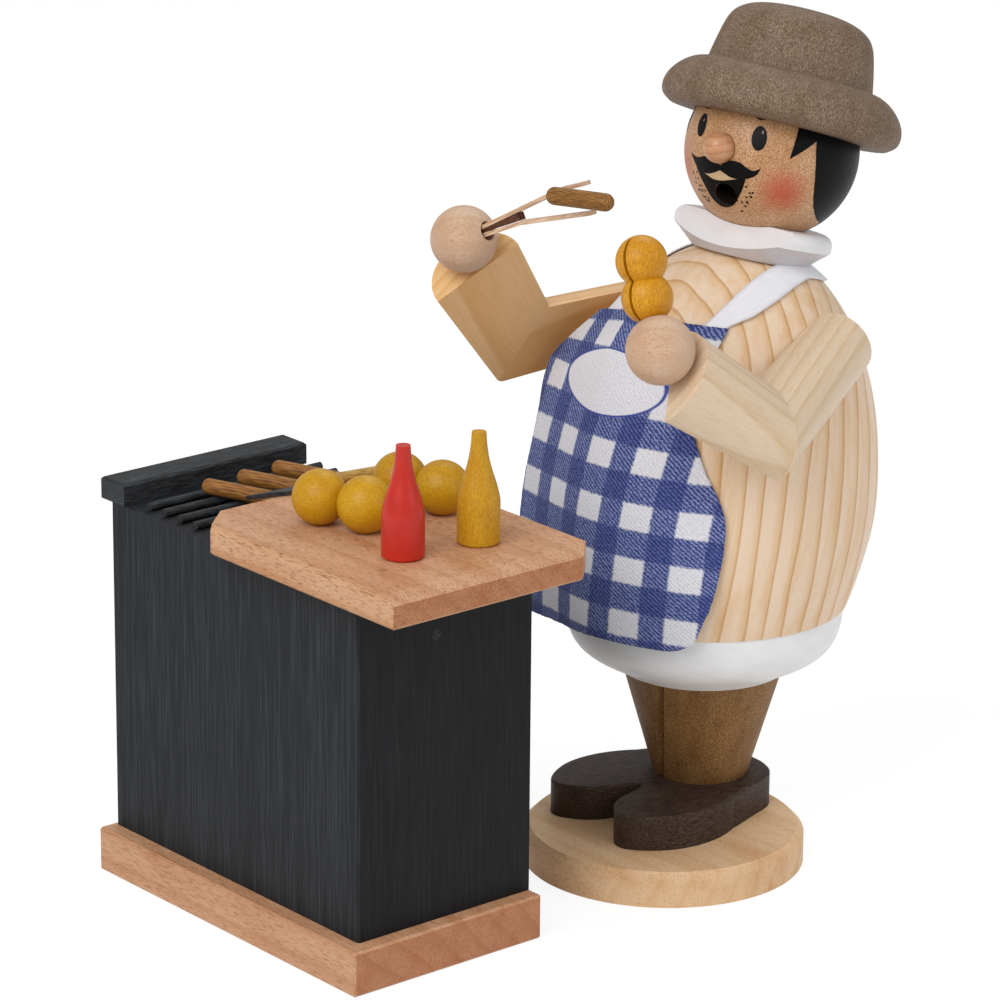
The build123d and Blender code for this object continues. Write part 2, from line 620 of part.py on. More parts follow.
def hand(arm):
    """Wooden ball with a small flat against the cuff."""
    palm = ball(HAND_RADIUS, Pos(0, 0, 0))
    cuff = Pos(-HAND_STAND, 0, 0) * Box(HAND_RADIUS, 2 * HAND_RADIUS, 2 * HAND_RADIUS,
                                        align=(Align.MAX, Align.CENTER, Align.CENTER))
    return elbow(arm) * hand_place(arm["side"]) * (palm - cuff - wrist_hole())


def wrist_dowel(arm):
    """Hidden dowel between forearm and hand."""
    dowel = Rot(0, -90, 0) * peg(WRIST_PEG_RADIUS, 0, WRIST_PEG_LENGTH)
    return elbow(arm) * hand_place(arm["side"]) * dowel


def hand_centre(arm):
    """Hand's centre as a place in the part's own frame."""
    return Pos(*(elbow(arm) * hand_place(arm["side"])).position)


# What the hands hold

def tongs_place():
    """Tongs' frame: X along them from the right hand's centre, Z across the jaws."""
    return hand_centre(RIGHT_ARM) * Rot(0, 0, TONGS_ROUND) * Rot(0, -TONGS_RISE, 0)


def tongs_hole():
    """Round hole in the right hand that the tongs are glued into."""
    start = HAND_RADIUS - TONGS_HOLE_DEEP
    return tongs_place() * Rot(0, 90, 0) * peg(TONGS_HOLE_RADIUS, start, HAND_RADIUS + OVERRUN)


def strip(route, outward):
    """Thin bent strip that follows a route of places, thick to one side of it."""
    outer = [(x, z + outward * STRIP_THICK) for x, z in route]
    face = make_face(Plane.XZ * Polyline(*route, *reversed(outer), close=True))
    return tongs_place() * Pos(0, STRIP_WIDE / 2, 0) * extrude(face, STRIP_WIDE, dir=(0, -1, 0))


def tongs_wedge():
    """Dark wedge between the two strips, from the hand to its tip."""
    upper_start, upper_end = UPPER_STRIP[0], UPPER_STRIP[1]
    lower_start, lower_end = LOWER_STRIP[0], LOWER_STRIP[1]

    def on(start, end, x, inward):
        share = (x - start[0]) / (end[0] - start[0])
        return (x, start[1] + share * (end[1] - start[1]) + inward)

    base = upper_start[0]
    face = make_face(Plane.XZ * Polyline(on(upper_start, upper_end, base, -GLUE_GAP),
                                         on(upper_start, upper_end, WEDGE_TIP, -GLUE_GAP),
                                         on(lower_start, lower_end, WEDGE_TIP, GLUE_GAP),
                                         on(lower_start, lower_end, base, GLUE_GAP), close=True))
    wide = STRIP_WIDE - 2 * GLUE_GAP
    return tongs_place() * Pos(0, wide / 2, 0) * extrude(face, wide, dir=(0, -1, 0))


def held_sausage():
    """Sausage glued slantwise on the side of the two strips."""
    side = STRIP_WIDE / 2 + GLUE_GAP + SAUSAGE_RADIUS
    place = Pos(HELD_SAUSAGE_AT, -side, 0) * Rot(0, HELD_SAUSAGE_TURN, 0)
    return tongs_place() * place * capsule(SAUSAGE_RADIUS, HELD_SAUSAGE_LENGTH)


def bun_seat():
    """Seat's frame: Z out of the left hand toward the bun's lower ball."""
    return hand_centre(LEFT_ARM) * Rot(0, 0, HELD_BUN_SEAT_ROUND) * Rot(HELD_BUN_SEAT_LEAN, 0, 0)


def held_bun_place():
    """Bun's frame: Z along it from its lower ball, X about toward the saw cut."""
    lower_ball = Pos(*(bun_seat() * Pos(0, 0, HELD_BUN_STAND)).position)
    return lower_ball * Rot(0, 0, HELD_BUN_ROUND) * Rot(HELD_BUN_LEAN, 0, 0)


def held_bun():
    """Double ball on the left hand with a saw cut along one side."""
    body = Sphere(HELD_BUN_RADIUS) + ball(HELD_BUN_RADIUS, Pos(0, 0, HELD_BUN_SPACING))
    cut = Box(2 * HELD_BUN_RADIUS, BUN_SLOT_WIDE, 4 * HELD_BUN_SPACING,
              align=(Align.MIN, Align.CENTER, Align.CENTER))
    body = body - Rot(0, 0, BUN_SLOT_TURN) * Pos(HELD_BUN_RADIUS - BUN_SLOT_DEEP, 0, 0) * cut
    body = held_bun_place() * body
    body = body - bun_seat() * Sphere(HAND_RADIUS + GLUE_GAP)
    return body - bun_seat() * peg(BUN_PEG_RADIUS + PEG_GAP, 0, HAND_RADIUS + BUN_PEG_LENGTH / 2 + GLUE_GAP)


def bun_dowel():
    """Hidden peg between the left hand and the bun."""
    low = HAND_RADIUS - BUN_PEG_LENGTH / 2
    return bun_seat() * peg(BUN_PEG_RADIUS, low, low + BUN_PEG_LENGTH)


# Apron and its ribbon

def apron_section(level, inner, thick):
    """Closed outline of the cloth at a level of the body: wrapped on one side, free on the other."""
    hang = (BELLY_RADIUS - body_radius(level)) * APRON_HANG if level < BELLY_LEVEL else 0
    radius = body_radius(level) + hang + inner
    wrap = APRON_WRAP_ANGLE
    free = -APRON_FREE_ANGLE

    def at(angle, distance, sideways=0):
        turn = radians(angle)
        x = distance * sin(turn) + sideways * cos(turn)
        y = -distance * cos(turn) + sideways * sin(turn)
        return (x, y)

    middle = (wrap + free) / 2
    edges = [
        ThreePointArc(at(free, radius), at(middle, radius), at(wrap, radius)),
        Line(at(wrap, radius), at(wrap, radius + thick)),
        ThreePointArc(at(wrap, radius + thick), at(middle, radius + thick), at(free, radius + thick)),
        Line(at(free, radius + thick), at(free, radius + thick, -APRON_FREE_LENGTH)),
        Line(at(free, radius + thick, -APRON_FREE_LENGTH), at(free, radius, -APRON_FREE_LENGTH)),
        Line(at(free, radius, -APRON_FREE_LENGTH), at(free, radius)),
    ]
    return Pos(0, 0, level) * make_face(edges)


def apron():
    """Bib apron: a lofted sheet round the belly, trimmed to the cut of the cloth."""
    levels = [share * APRON_TOP for share in apron_level_shares]
    sheet = loft([apron_section(level, APRON_STAND, APRON_THICK) for level in levels])
    shares = apron_right_shares + apron_foot_shares + apron_left_shares
    points = [(APRON_SHIFT + across * APRON_WIDTH, up * APRON_TOP) for across, up in shares]
    outline = make_face(Plane.XZ * (Spline(points) + Line(points[-1], points[0])))
    trim = extrude(outline, 2 * BELLY_RADIUS, dir=(0, -1, 0))
    return BODY * (sheet & trim)


def apron_strap():
    """Ribbon from one corner of the bib round the neck to the other, lying on the body."""
    shell = egg(RIBBON_STAND + RIBBON_THICK) - egg(RIBBON_STAND)
    outer = RIBBON_INNER + RIBBON_WIDE
    front = 2 * BELLY_RADIUS

    def yoke(radius):
        legs_box = Box(2 * radius, front, front, align=(Align.CENTER, Align.MAX, Align.MIN))
        return peg(radius, 0, front) + legs_box

    band = Pos(0, RIBBON_BACK, APRON_TOP + RUNNING_GAP) * (yoke(outer) - yoke(RIBBON_INNER))
    return BODY * (shell & band)


# Grill stand

def stand_base():
    """Beech board under the grill."""
    board = Box(STAND_BASE_LENGTH, STAND_BASE_DEPTH, STAND_BASE_THICK, align=(Align.MIN, Align.MIN, Align.MIN))
    board = chamfer(board.edges(), STAND_EDGE)
    return Pos(STAND_LEFT_X, STAND_FRONT_Y, 0) * board


def stand_block():
    """Black block of the grill."""
    block = Box(BLOCK_LENGTH, BLOCK_DEPTH, BLOCK_HEIGHT, align=(Align.MIN, Align.MIN, Align.MIN))
    block = chamfer(block.edges().filter_by(Axis.Z), STAND_EDGE)
    return Pos(BLOCK_LEFT_X, BLOCK_FRONT_Y, STAND_BASE_THICK) * block


def grill_rail():
    """Black strip along the left edge of the block, standing over it."""
    rail = Box(RAIL_WIDE, RAIL_LENGTH, RAIL_THICK, align=(Align.MIN, Align.MIN, Align.MIN))
    rail = chamfer(rail.edges().group_by(Axis.Z)[-1], STAND_EDGE)
    return Pos(BLOCK_LEFT_X - RAIL_OVERHANG, BLOCK_FRONT_Y, STAND_TOP) * rail


def grill_rod(number):
    """One black rod of the grill, counted from the rail."""
    x = BLOCK_LEFT_X + ROD_FROM_LEFT + number * ROD_PITCH
    rod = Rot(-90, 0, 0) * peg(ROD_RADIUS, 0, ROD_LENGTH)
    return Pos(x, BLOCK_FRONT_Y + ROD_IN_FRONT, ROD_LEVEL) * rod


def grill_sausage(number):
    """One sausage lying slantwise over the rods, counted from the front."""
    x = BLOCK_LEFT_X + GRILL_SAUSAGE_X + number * GRILL_SAUSAGE_DRIFT
    y = BLOCK_FRONT_Y + GRILL_SAUSAGE_Y + number * GRILL_SAUSAGE_PITCH
    middle = Pos(GRILL_SAUSAGE_LENGTH / 2, 0, 0)
    sausage = middle * capsule(GRILL_SAUSAGE_RADIUS, GRILL_SAUSAGE_LENGTH)
    return Pos(x, y, SAUSAGE_LEVEL) * Rot(0, 0, GRILL_SAUSAGE_TURN) * sausage


def knife_place():
    """Knife's frame: Y from the point over the sausages to the handle on the worktop."""
    return Pos(BLOCK_LEFT_X + KNIFE_FROM_LEFT, BLOCK_FRONT_Y + KNIFE_TIP_IN, KNIFE_LEVEL) * Rot(0, 0, KNIFE_TURN)


def knife_blade():
    """Dark pointed blade with a tang in the handle."""
    half = BLADE_WIDE / 2
    shoulder_y = BLADE_SHOULDER_SHARE * BLADE_LENGTH
    plan = Polygon((0, 0), (half, shoulder_y), (half, BLADE_LENGTH), (-half, BLADE_LENGTH), align=None)
    blade = extrude(plan, BLADE_THICK)
    tang = Pos(0, BLADE_LENGTH, 0) * Box(half, KNIFE_TANG, BLADE_THICK,
                                         align=(Align.CENTER, Align.MIN, Align.MIN))
    return knife_place() * (blade + tang)


def knife_handle():
    """Pale round handle with a slot for the tang."""
    start = BLADE_LENGTH + GLUE_GAP
    grip = Pos(0, start, KNIFE_HANDLE_RADIUS) * Rot(-90, 0, 0) * peg(KNIFE_HANDLE_RADIUS, 0, KNIFE_HANDLE_LENGTH)
    slot = Pos(0, BLADE_LENGTH, BLADE_THICK / 2) * Box(BLADE_WIDE / 2 + 2 * PEG_GAP, 2 * KNIFE_TANG + 2 * GLUE_GAP,
                                                      BLADE_THICK + 2 * PEG_GAP)
    return knife_place() * (grip - slot)


def worktop():
    """Beech board with two clipped corners and a wide bevel along its free end."""
    points = [
        (WORKTOP_CLIP_SHORT, 0), (WORKTOP_LENGTH, 0), (WORKTOP_LENGTH, WORKTOP_DEPTH - WORKTOP_BACK_CLIP),
        (WORKTOP_LENGTH - WORKTOP_BACK_CLIP, WORKTOP_DEPTH), (0, WORKTOP_DEPTH), (0, WORKTOP_CLIP_LONG),
    ]
    board = extrude(make_face(Polyline(points, close=True)), WORKTOP_THICK)
    rim = board.edges().group_by(Axis.Z)[-1]
    end = rim.filter_by(Axis.Y).sort_by(Axis.X)[-1]
    board = chamfer(end, WORKTOP_BEVEL, length2=WORKTOP_END_BEVEL, reference=board.faces().sort_by(Axis.X)[-1])
    front = board.edges().group_by(Axis.Z)[-1].filter_by(Axis.X).sort_by(Axis.Y)[0]
    board = chamfer(front, WORKTOP_BEVEL)
    board = chamfer(board.edges().group_by(Axis.Z)[0], WORKTOP_FOOT_BEVEL)
    return Pos(WORKTOP_X, WORKTOP_Y, STAND_TOP) * board


def table_bun(bun):
    """Double bun on the worktop, with a small flat under each ball."""
    first, second = bun["radii"]
    spacing = first + second - BUN_WAIST_OVERLAP
    lower = Pos(-spacing / 2, 0, first - REST_FLAT) * Sphere(first)
    upper = Pos(spacing / 2, 0, second - REST_FLAT) * Sphere(second)
    table = Box(4 * spacing, 4 * spacing, spacing, align=(Align.CENTER, Align.CENTER, Align.MAX))
    place = Pos(WORKTOP_X + bun["x"], WORKTOP_Y + bun["y"], WORKTOP_LEVEL) * Rot(0, 0, bun["turn"])
    return place * (lower + upper - table)


def bottle(x, y):
    """Turned bottle: straight body and a long taper to the neck."""
    side = [(across * BOTTLE_RADIUS, up * BOTTLE_HEIGHT) for across, up in bottle_side_shares]
    taper = Spline(side, tangents=[(0, 1), (-0.06, 1)])
    rest = Polyline(side[0], (BOTTLE_RADIUS, BOTTLE_EDGE), (BOTTLE_RADIUS - BOTTLE_EDGE, 0), (0, 0),
                    (0, BOTTLE_HEIGHT), side[-1])
    return Pos(WORKTOP_X + x, WORKTOP_Y + y, WORKTOP_LEVEL) * turned(taper + rest)


def right_hand():
    """Right hand with the tongs' hole."""
    return hand(RIGHT_ARM) - tongs_hole()


def left_hand():
    """Left hand with the bun peg's hole."""
    low = HAND_RADIUS - BUN_PEG_LENGTH / 2 - GLUE_GAP
    return hand(LEFT_ARM) - bun_seat() * peg(BUN_PEG_RADIUS + PEG_GAP, low, HAND_RADIUS + OVERRUN)


def main():
    left_forearm, left_upper_arm = arm_pieces(LEFT_ARM)
    right_forearm, right_upper_arm = arm_pieces(RIGHT_ARM)
    pieces = {
        "base_disc": base_disc(), "shoes": shoes(), "legs": legs(), "leg_dowel": leg_dowel(),
        "hem_bowl": hem_bowl(), "cone_dish": cone_dish(), "dish_tack": dish_tack(),
        "torso": torso(), "collar": collar(), "head": head(), "nose": nose(), "hat": hat(),
        "left_forearm": left_forearm, "left_upper_arm": left_upper_arm,
        "right_forearm": right_forearm, "right_upper_arm": right_upper_arm,
        "left_arm_dowel": arm_dowel(LEFT_ARM), "right_arm_dowel": arm_dowel(RIGHT_ARM),
        "left_hand": left_hand(), "right_hand": right_hand(),
        "left_wrist_dowel": wrist_dowel(LEFT_ARM), "right_wrist_dowel": wrist_dowel(RIGHT_ARM),
        "tongs_upper": strip(UPPER_STRIP, 1), "tongs_lower": strip(LOWER_STRIP, -1), "tongs_wedge": tongs_wedge(),
        "held_sausage": held_sausage(), "held_bun": held_bun(), "bun_dowel": bun_dowel(),
        "apron": apron(), "apron_strap": apron_strap(),
        "stand_base": stand_base(), "stand_block": stand_block(), "grill_rail": grill_rail(),
        "knife_blade": knife_blade(), "knife_handle": knife_handle(), "worktop": worktop(),
        "bun_front": table_bun(FRONT_BUN), "bun_back": table_bun(BACK_BUN),
        "red_bottle": bottle(RED_BOTTLE_X, RED_BOTTLE_Y), "yellow_bottle": bottle(YELLOW_BOTTLE_X, YELLOW_BOTTLE_Y),
    }
    for number in range(ROD_COUNT):
        pieces[f"grill_rod_{number + 1}"] = grill_rod(number)
    for number in range(GRILL_SAUSAGE_COUNT):
        pieces[f"grill_sausage_{number + 1}"] = grill_sausage(number)
    for name, solid in pieces.items():
        save(name, solid)


main()
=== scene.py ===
# %% [markdown]
# # A wooden incense smoker, finished and dressed
# The solids of the figure and of its grill stand come ready made. They are loaded once,
# and everything below is in metres in their frame: +Z is up and the figure looks to -Y.

# %% Load the solids
from math import cos, degrees, pi, radians, sin
import random

import bpy
from mathutils import Matrix, Vector
from mathutils.geometry import delaunay_2d_cdt
import numpy as np


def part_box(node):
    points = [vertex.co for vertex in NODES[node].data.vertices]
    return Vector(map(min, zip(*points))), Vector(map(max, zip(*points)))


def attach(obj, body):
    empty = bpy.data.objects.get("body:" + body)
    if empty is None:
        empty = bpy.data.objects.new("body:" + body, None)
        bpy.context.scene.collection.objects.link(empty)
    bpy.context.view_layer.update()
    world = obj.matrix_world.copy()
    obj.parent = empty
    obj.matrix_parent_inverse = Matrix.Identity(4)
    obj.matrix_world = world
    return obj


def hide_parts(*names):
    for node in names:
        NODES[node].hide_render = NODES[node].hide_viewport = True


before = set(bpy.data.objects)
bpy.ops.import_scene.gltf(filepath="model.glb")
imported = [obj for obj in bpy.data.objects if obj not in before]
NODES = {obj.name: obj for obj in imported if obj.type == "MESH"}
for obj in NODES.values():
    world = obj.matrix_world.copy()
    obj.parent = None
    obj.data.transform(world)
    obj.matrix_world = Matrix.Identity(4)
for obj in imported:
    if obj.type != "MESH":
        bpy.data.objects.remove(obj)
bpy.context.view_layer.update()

MM = 0.001
print("solids loaded:", len(NODES))

# %% [markdown]
# ## Camera
# The photograph was taken from the figure's left front and a little above, through a long
# lens. Three turns set the camera: a small roll, then up from looking down, then round the
# vertical.

# %% Camera
CAMERA_AZIMUTH = radians(49.94)
CAMERA_ELEVATION = radians(18.03)
CAMERA_ROLL = radians(0.47)
CAMERA_PLACE = Vector((768.28, -695.49, 421.88)) * MM
CAMERA_LENS = 175.4

camera_turn = (Matrix.Rotation(CAMERA_AZIMUTH, 4, "Z") @ Matrix.Rotation(pi / 2 - CAMERA_ELEVATION, 4, "X")
               @ Matrix.Rotation(CAMERA_ROLL, 4, "Z"))
lens = bpy.data.cameras.new("camera")
lens.lens = CAMERA_LENS
camera = bpy.data.objects.new("camera", lens)
camera.matrix_world = Matrix.Translation(CAMERA_PLACE) @ camera_turn
bpy.context.scene.collection.objects.link(camera)
bpy.context.scene.camera = camera
bpy.context.scene.view_settings.view_transform = "Standard"
print("camera at", [round(value, 3) for value in CAMERA_PLACE])

# %% [markdown]
# ## Colours and nodes
# A hex colour is what a screen shows, and a shader counts light, so one function turns the
# first into the second. A material is a small tree of nodes, and one function adds a node:
# its settings are named, each input takes a plain value or the output of another node, and
# it gives back the output that the next node needs.

# %% Colours and nodes
def paint(hex_colour):
    """Linear colour with alpha from an sRGB hex value."""
    channels = [int(hex_colour[start:start + 2], 16) / 255 for start in (1, 3, 5)]
    linear = [c / 12.92 if c <= 0.04045 else ((c + 0.055) / 1.055) ** 2.4 for c in channels]
    return (*linear, 1)


def add_node(tree, kind, inputs=None, out=0, stops=(), **settings):
    """Add a node with settings, inputs and colour stops, and give back an output."""
    node = tree.nodes.new("ShaderNode" + kind)
    for name, value in settings.items():
        setattr(node, name, value)
    for socket, value in (inputs or {}).items():
        if isinstance(value, bpy.types.NodeSocket):
            tree.links.new(value, node.inputs[socket])
        else:
            node.inputs[socket].default_value = value
    for number, (place, colour) in enumerate(stops):
        marks = node.color_ramp.elements
        mark = marks[number] if number < 2 else marks.new(1)
        mark.position = place
        mark.color = paint(colour)
    return node.outputs[out] if len(node.outputs) else node


def new_tree(name):
    """Empty material and its tree of nodes."""
    material = bpy.data.materials.new(name)
    material.use_nodes = True
    material.node_tree.nodes.clear()
    return material, material.node_tree


print("wood brown in linear light:", [round(value, 3) for value in paint("#7a5636")])

# %% [markdown]
# ## Pieces of this script's own
# Trousers, paint, cloth, ribbon and floor are meshes worked out here, each from a list of
# places, a list of faces between them and one material. Turned and woven pieces are grids of
# points, and outlines are smooth lines through a few points.

# %% A mesh piece
def build_piece(name, places, faces, material):
    """Mesh object from places and faces, with smooth shading."""
    mesh = bpy.data.meshes.new(name)
    mesh.from_pydata([tuple(place) for place in places], [], faces)
    mesh.update()
    mesh.shade_smooth()
    mesh.materials.append(material)
    piece = bpy.data.objects.new(name, mesh)
    bpy.context.scene.collection.objects.link(piece)
    return piece


def grid_faces(rows, columns, closed=False):
    """Faces between rows of points; a closed grid joins its last column to its first."""
    width = columns if closed else columns + 1
    return [(row * width + column, row * width + (column + 1) % width,
             (row + 1) * width + (column + 1) % width, (row + 1) * width + column)
            for row in range(rows) for column in range(columns)]


def spline(a, b, c, d, t):
    """Place between b and c on the smooth line through four points."""
    return 0.5 * (2 * b + (c - a) * t + (2 * a - 5 * b + 4 * c - d) * t * t
                  + (3 * b - a - 3 * c + d) * t ** 3)


print("one grid square:", grid_faces(1, 1))

# %% [markdown]
# ## Wood as a solid
# Turned and sawn wood shows the same rings on every side, because the pattern goes right
# through it. So it is worked out in space: a place is first written in the trunk's own axes,
# in millimetres, with Z along the grain and the pith at the origin. The distance from the
# pith counts the rings, and noise stretched along Z gives the fibres. The grain of a stick
# runs along its longest direction, which its own faces give.

# %% Wood patterns
UPRIGHT = Vector((0, 0, 1))
ACROSS = Vector((1, 0, 0))
FORWARD = Vector((0, -1, 0))


def direction(azimuth, elevation):
    """Direction at two angles in degrees: round from the front toward +X, and up."""
    a, e = radians(azimuth), radians(elevation)
    return Vector((sin(a) * cos(e), -cos(a) * cos(e), sin(e)))


def middle_mm(name):
    """Middle of a solid's box, in mm."""
    low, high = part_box(name)
    return (low + high) / 2 / MM


def long_way(name):
    """Direction in which a solid is longest, from its faces weighted by area."""
    faces = NODES[name].data.polygons
    centres = np.array([face.center for face in faces])
    areas = np.array([[face.area] for face in faces])
    centres -= (centres * areas).sum(axis=0) / areas.sum()
    return Vector(np.linalg.eigh((centres * areas).T @ centres)[1][:, 2])


def trunk_place(tree, pith, grain):
    """Place in the trunk's axes, in mm, from a point on its axis and its direction."""
    turn = UPRIGHT.rotation_difference(Vector(grain)).to_euler()
    here = add_node(tree, "TexCoord", out="Object")
    in_mm = add_node(tree, "VectorMath", {0: here, "Scale": 1 / MM}, operation="SCALE")
    return add_node(tree, "Mapping", {0: in_mm, "Location": pith, "Rotation": turn}, vector_type="TEXTURE")


def fibres(tree, place, across, along, detail=2):
    """Noise with grains of two sizes in mm, across and along the wood, from 0 to 1."""
    stretch = (1 / across, 1 / across, 1 / along)
    scaled = add_node(tree, "VectorMath", {0: place, 1: stretch}, operation="MULTIPLY")
    return add_node(tree, "TexNoise", {"Vector": scaled, "Scale": 1, "Detail": detail}, out="Fac")


def wood_tree(name, pith, grain):
    """New material, its tree and the place in the trunk's axes."""
    material, tree = new_tree(name)
    return material, tree, trunk_place(tree, pith, grain)


def growth_rings(tree, place, ring_mm, wander_mm):
    """Saw wave from 0 to 1 over each growth ring, its lines wandering a little."""
    wobble = fibres(tree, place, 14, 70, 1)
    shift = add_node(tree, "Math", {0: wobble, 1: 2 * wander_mm, 2: -wander_mm}, operation="MULTIPLY_ADD")
    flat = add_node(tree, "VectorMath", {0: place, 1: (1, 1, 0)}, operation="MULTIPLY")
    distance = add_node(tree, "VectorMath", {0: flat}, out="Value", operation="LENGTH")
    moved = add_node(tree, "Math", {0: distance, 1: shift}, operation="ADD")
    count = add_node(tree, "Math", {0: moved, 1: 1 / ring_mm}, operation="MULTIPLY")
    return add_node(tree, "Math", {0: count}, operation="FRACT")


def three_tones(tree, pattern, low, high, tones):
    """Colour from the first tone to the third as a pattern runs from a low to a high value."""
    share = add_node(tree, "MapRange", {0: pattern, 1: low, 2: high}, interpolation_type="SMOOTHSTEP")
    return add_node(tree, "ValToRGB", {0: share}, stops=list(zip((0, 0.5, 1), tones)))


def facing(tree, direction):
    """How far the surface faces a direction: 1 toward it, -1 away from it."""
    normal = add_node(tree, "NewGeometry", out="Normal")
    return add_node(tree, "VectorMath", {0: normal, 1: direction}, out="Value", operation="DOT_PRODUCT")


def distance_to(tree, spot):
    """Distance from a spot, in metres."""
    here = add_node(tree, "TexCoord", out="Object")
    return add_node(tree, "VectorMath", {0: here, 1: spot}, out="Value", operation="DISTANCE")


def lay_tint(tree, colour, pattern, low, high, tint, how="MULTIPLY"):
    """Tint a colour where a pattern runs from a low to a high value."""
    share = add_node(tree, "MapRange", {0: pattern, 1: low, 2: high}, interpolation_type="SMOOTHSTEP")
    return add_node(tree, "Mix", {0: share, 6: colour, 7: paint(tint)}, out=2, data_type="RGBA",
                    blend_type=how)


def finish_surface(material, tree, colour, roughness, relief, relief_mm, specular=0.4, sheen=0, metal=0):
    """Principled surface with a fine relief in mm."""
    normal = add_node(tree, "Bump", {"Height": relief, "Distance": relief_mm * MM})
    surface = add_node(tree, "BsdfPrincipled", {
        "Base Color": colour, "Roughness": roughness, "Normal": normal, "Specular IOR Level": specular,
        "Sheen Weight": sheen, "Metallic": metal})
    add_node(tree, "OutputMaterial", {"Surface": surface})
    return material


print("the left forearm's grain runs along", [round(v, 2) for v in long_way("left_wrist_dowel")])

# %% [markdown]
# ## The body: lacquered spruce
# The big turned body is a softwood. Each ring is pale early wood that darkens to an amber
# line of late wood and then stops sharply. The pith lies far in front of the body, so the
# lines stand upright on its sides, closer together toward the back, and run as arcs over
# its shoulders.

# %% Spruce
BODY_LEAN = radians(7.85)
BODY_AXIS = Vector((0, sin(BODY_LEAN), cos(BODY_LEAN)))
SPRUCE_PITH = (-0.5, -67.6, 69)
SPRUCE_RING = 4.9
SPRUCE_TONES = [(0, "#edd5bb"), (0.55, "#ecd2b6"), (0.84, "#e3c29a"), (0.95, "#d0a372"),
                (0.975, "#d7ae82"), (1, "#ecd3ba")]


def spruce_body():
    material, tree, place = wood_tree("turned_spruce_silk_lacquer", SPRUCE_PITH, BODY_AXIS)
    rings = growth_rings(tree, place, SPRUCE_RING, 2.4)
    colour = add_node(tree, "ValToRGB", {0: rings}, stops=SPRUCE_TONES)
    threads = fibres(tree, place, 0.35, 9)
    colour = lay_tint(tree, colour, fibres(tree, place, 3, 60), 0.35, 0.75, "#f9eedd")
    colour = lay_tint(tree, colour, threads, 0.5, 0.85, "#f5ebde")
    return finish_surface(material, tree, colour, 0.42, threads, 0.012)


print("spruce rings every", SPRUCE_RING, "mm")

# %% [markdown]
# ## Boards and balls: beech
# Beech is an even pinkish tan with thousands of short darker dashes, the cut rays. They are
# about 0.15 mm wide and 1 to 2 mm long, and are drawn a little wider so that they show.

# %% Beech
FLECKS = (0.22, 2.4)


def beech(name, pith, grain, ring_mm, tones, end_grain=None, flecks=FLECKS):
    """Planed or turned beech; the end grain, seen along the grain, is a little darker."""
    pale, deep, fleck = tones
    material, tree, place = wood_tree(name, pith, grain)
    rings = growth_rings(tree, place, ring_mm, 1.2)
    colour = add_node(tree, "ValToRGB", {0: rings}, stops=[
        (0, pale), (0.55, pale), (0.9, deep), (1, pale)])
    rays = fibres(tree, place, *flecks, 1)
    colour = lay_tint(tree, colour, rays, 0.52, 0.68, fleck, "MIX")
    colour = lay_tint(tree, colour, fibres(tree, place, 5, 22), 0.35, 0.8, "#f2e4d6")
    if end_grain:
        endwise = add_node(tree, "Math", {0: facing(tree, grain)}, operation="ABSOLUTE")
        colour = lay_tint(tree, colour, endwise, 0.75, 0.95, end_grain)
    return finish_surface(material, tree, colour, 0.52, rays, 0.02, 0.35)


def limewood(name, pith, grain, ring_mm, tones):
    """Sawn and lacquered arms: straight even grain, faint darker lines."""
    material, tree, place = wood_tree(name, pith, grain)
    rings = growth_rings(tree, place, ring_mm, 0.5)
    pale, middle, deep = tones
    colour = add_node(tree, "ValToRGB", {0: rings}, stops=[
        (0, pale), (0.5, middle), (0.88, deep), (1, pale)])
    threads = fibres(tree, place, 0.24, 8)
    colour = lay_tint(tree, colour, threads, 0.4, 0.8, "#f5ecdf")
    return finish_surface(material, tree, colour, 0.42, threads, 0.008)


print("beech flecks", FLECKS[0], "by", FLECKS[1], "mm")

# %% [markdown]
# ## Stained woods
# Stain sinks into the pores, so the wood keeps its grain and only its colour changes. The
# speckle of hat and trousers is end grain that took more or less of it. The black grill is
# open-pored: upright pores show as paler and darker lines, its left side is darker than its
# front as painted shade, and one small place high on that side is rubbed.

# %% Stains
RUBBED_PLACE = Vector((16.1, -80.2, 75.4)) * MM
RUBBED_REACH = 2.6 * MM
RUBBED_CORE = 0.6 * MM


def stained(name, pith, grain, tones, grains=(0.3, 3), contrast=(0.3, 0.7), roughness=0.5,
            relief_mm=0.03, cloud="#e9e3db"):
    """Stained wood in three tones, from deep to pale, with grains of two sizes in mm."""
    material, tree, place = wood_tree(name, pith, grain)
    speckle = fibres(tree, place, *grains, 3)
    colour = three_tones(tree, speckle, *contrast, tones)
    colour = lay_tint(tree, colour, fibres(tree, place, 4, 16), 0.3, 0.75, cloud)
    return finish_surface(material, tree, colour, roughness, speckle, relief_mm, 0.3)


def stained_lengthwise(name, node, tones, *details, **settings):
    """Stained wood whose grain runs along the length of a solid."""
    return stained(name, middle_mm(node), long_way(node), tones, *details, **settings)


def black_grill():
    material, tree, place = wood_tree("black_stained_open_pored_grill", (0, 0, 0), UPRIGHT)
    pores = fibres(tree, place, 0.4, 14)
    colour = three_tones(tree, pores, 0.3, 0.74, ("#191b1d", "#232528", "#303338"))
    colour = lay_tint(tree, colour, fibres(tree, place, 3.5, 90), 0.35, 0.7, "#dfe1e5")
    near = add_node(tree, "MapRange", {0: distance_to(tree, RUBBED_PLACE), 1: RUBBED_REACH, 2: RUBBED_CORE},
                    interpolation_type="SMOOTHSTEP")
    rubbed = add_node(tree, "Math", {0: near, 1: fibres(tree, place, 0.35, 0.6)}, operation="MULTIPLY")
    colour = lay_tint(tree, colour, rubbed, 0.3, 0.6, "#55544f", "MIX")
    # painted shade: faces toward +X, the grill's left side, are darkened
    colour = lay_tint(tree, colour, facing(tree, ACROSS), 0.7, 0.95, "#acacb0")
    return finish_surface(material, tree, colour, 0.66, pores, 0.04, 0.25)


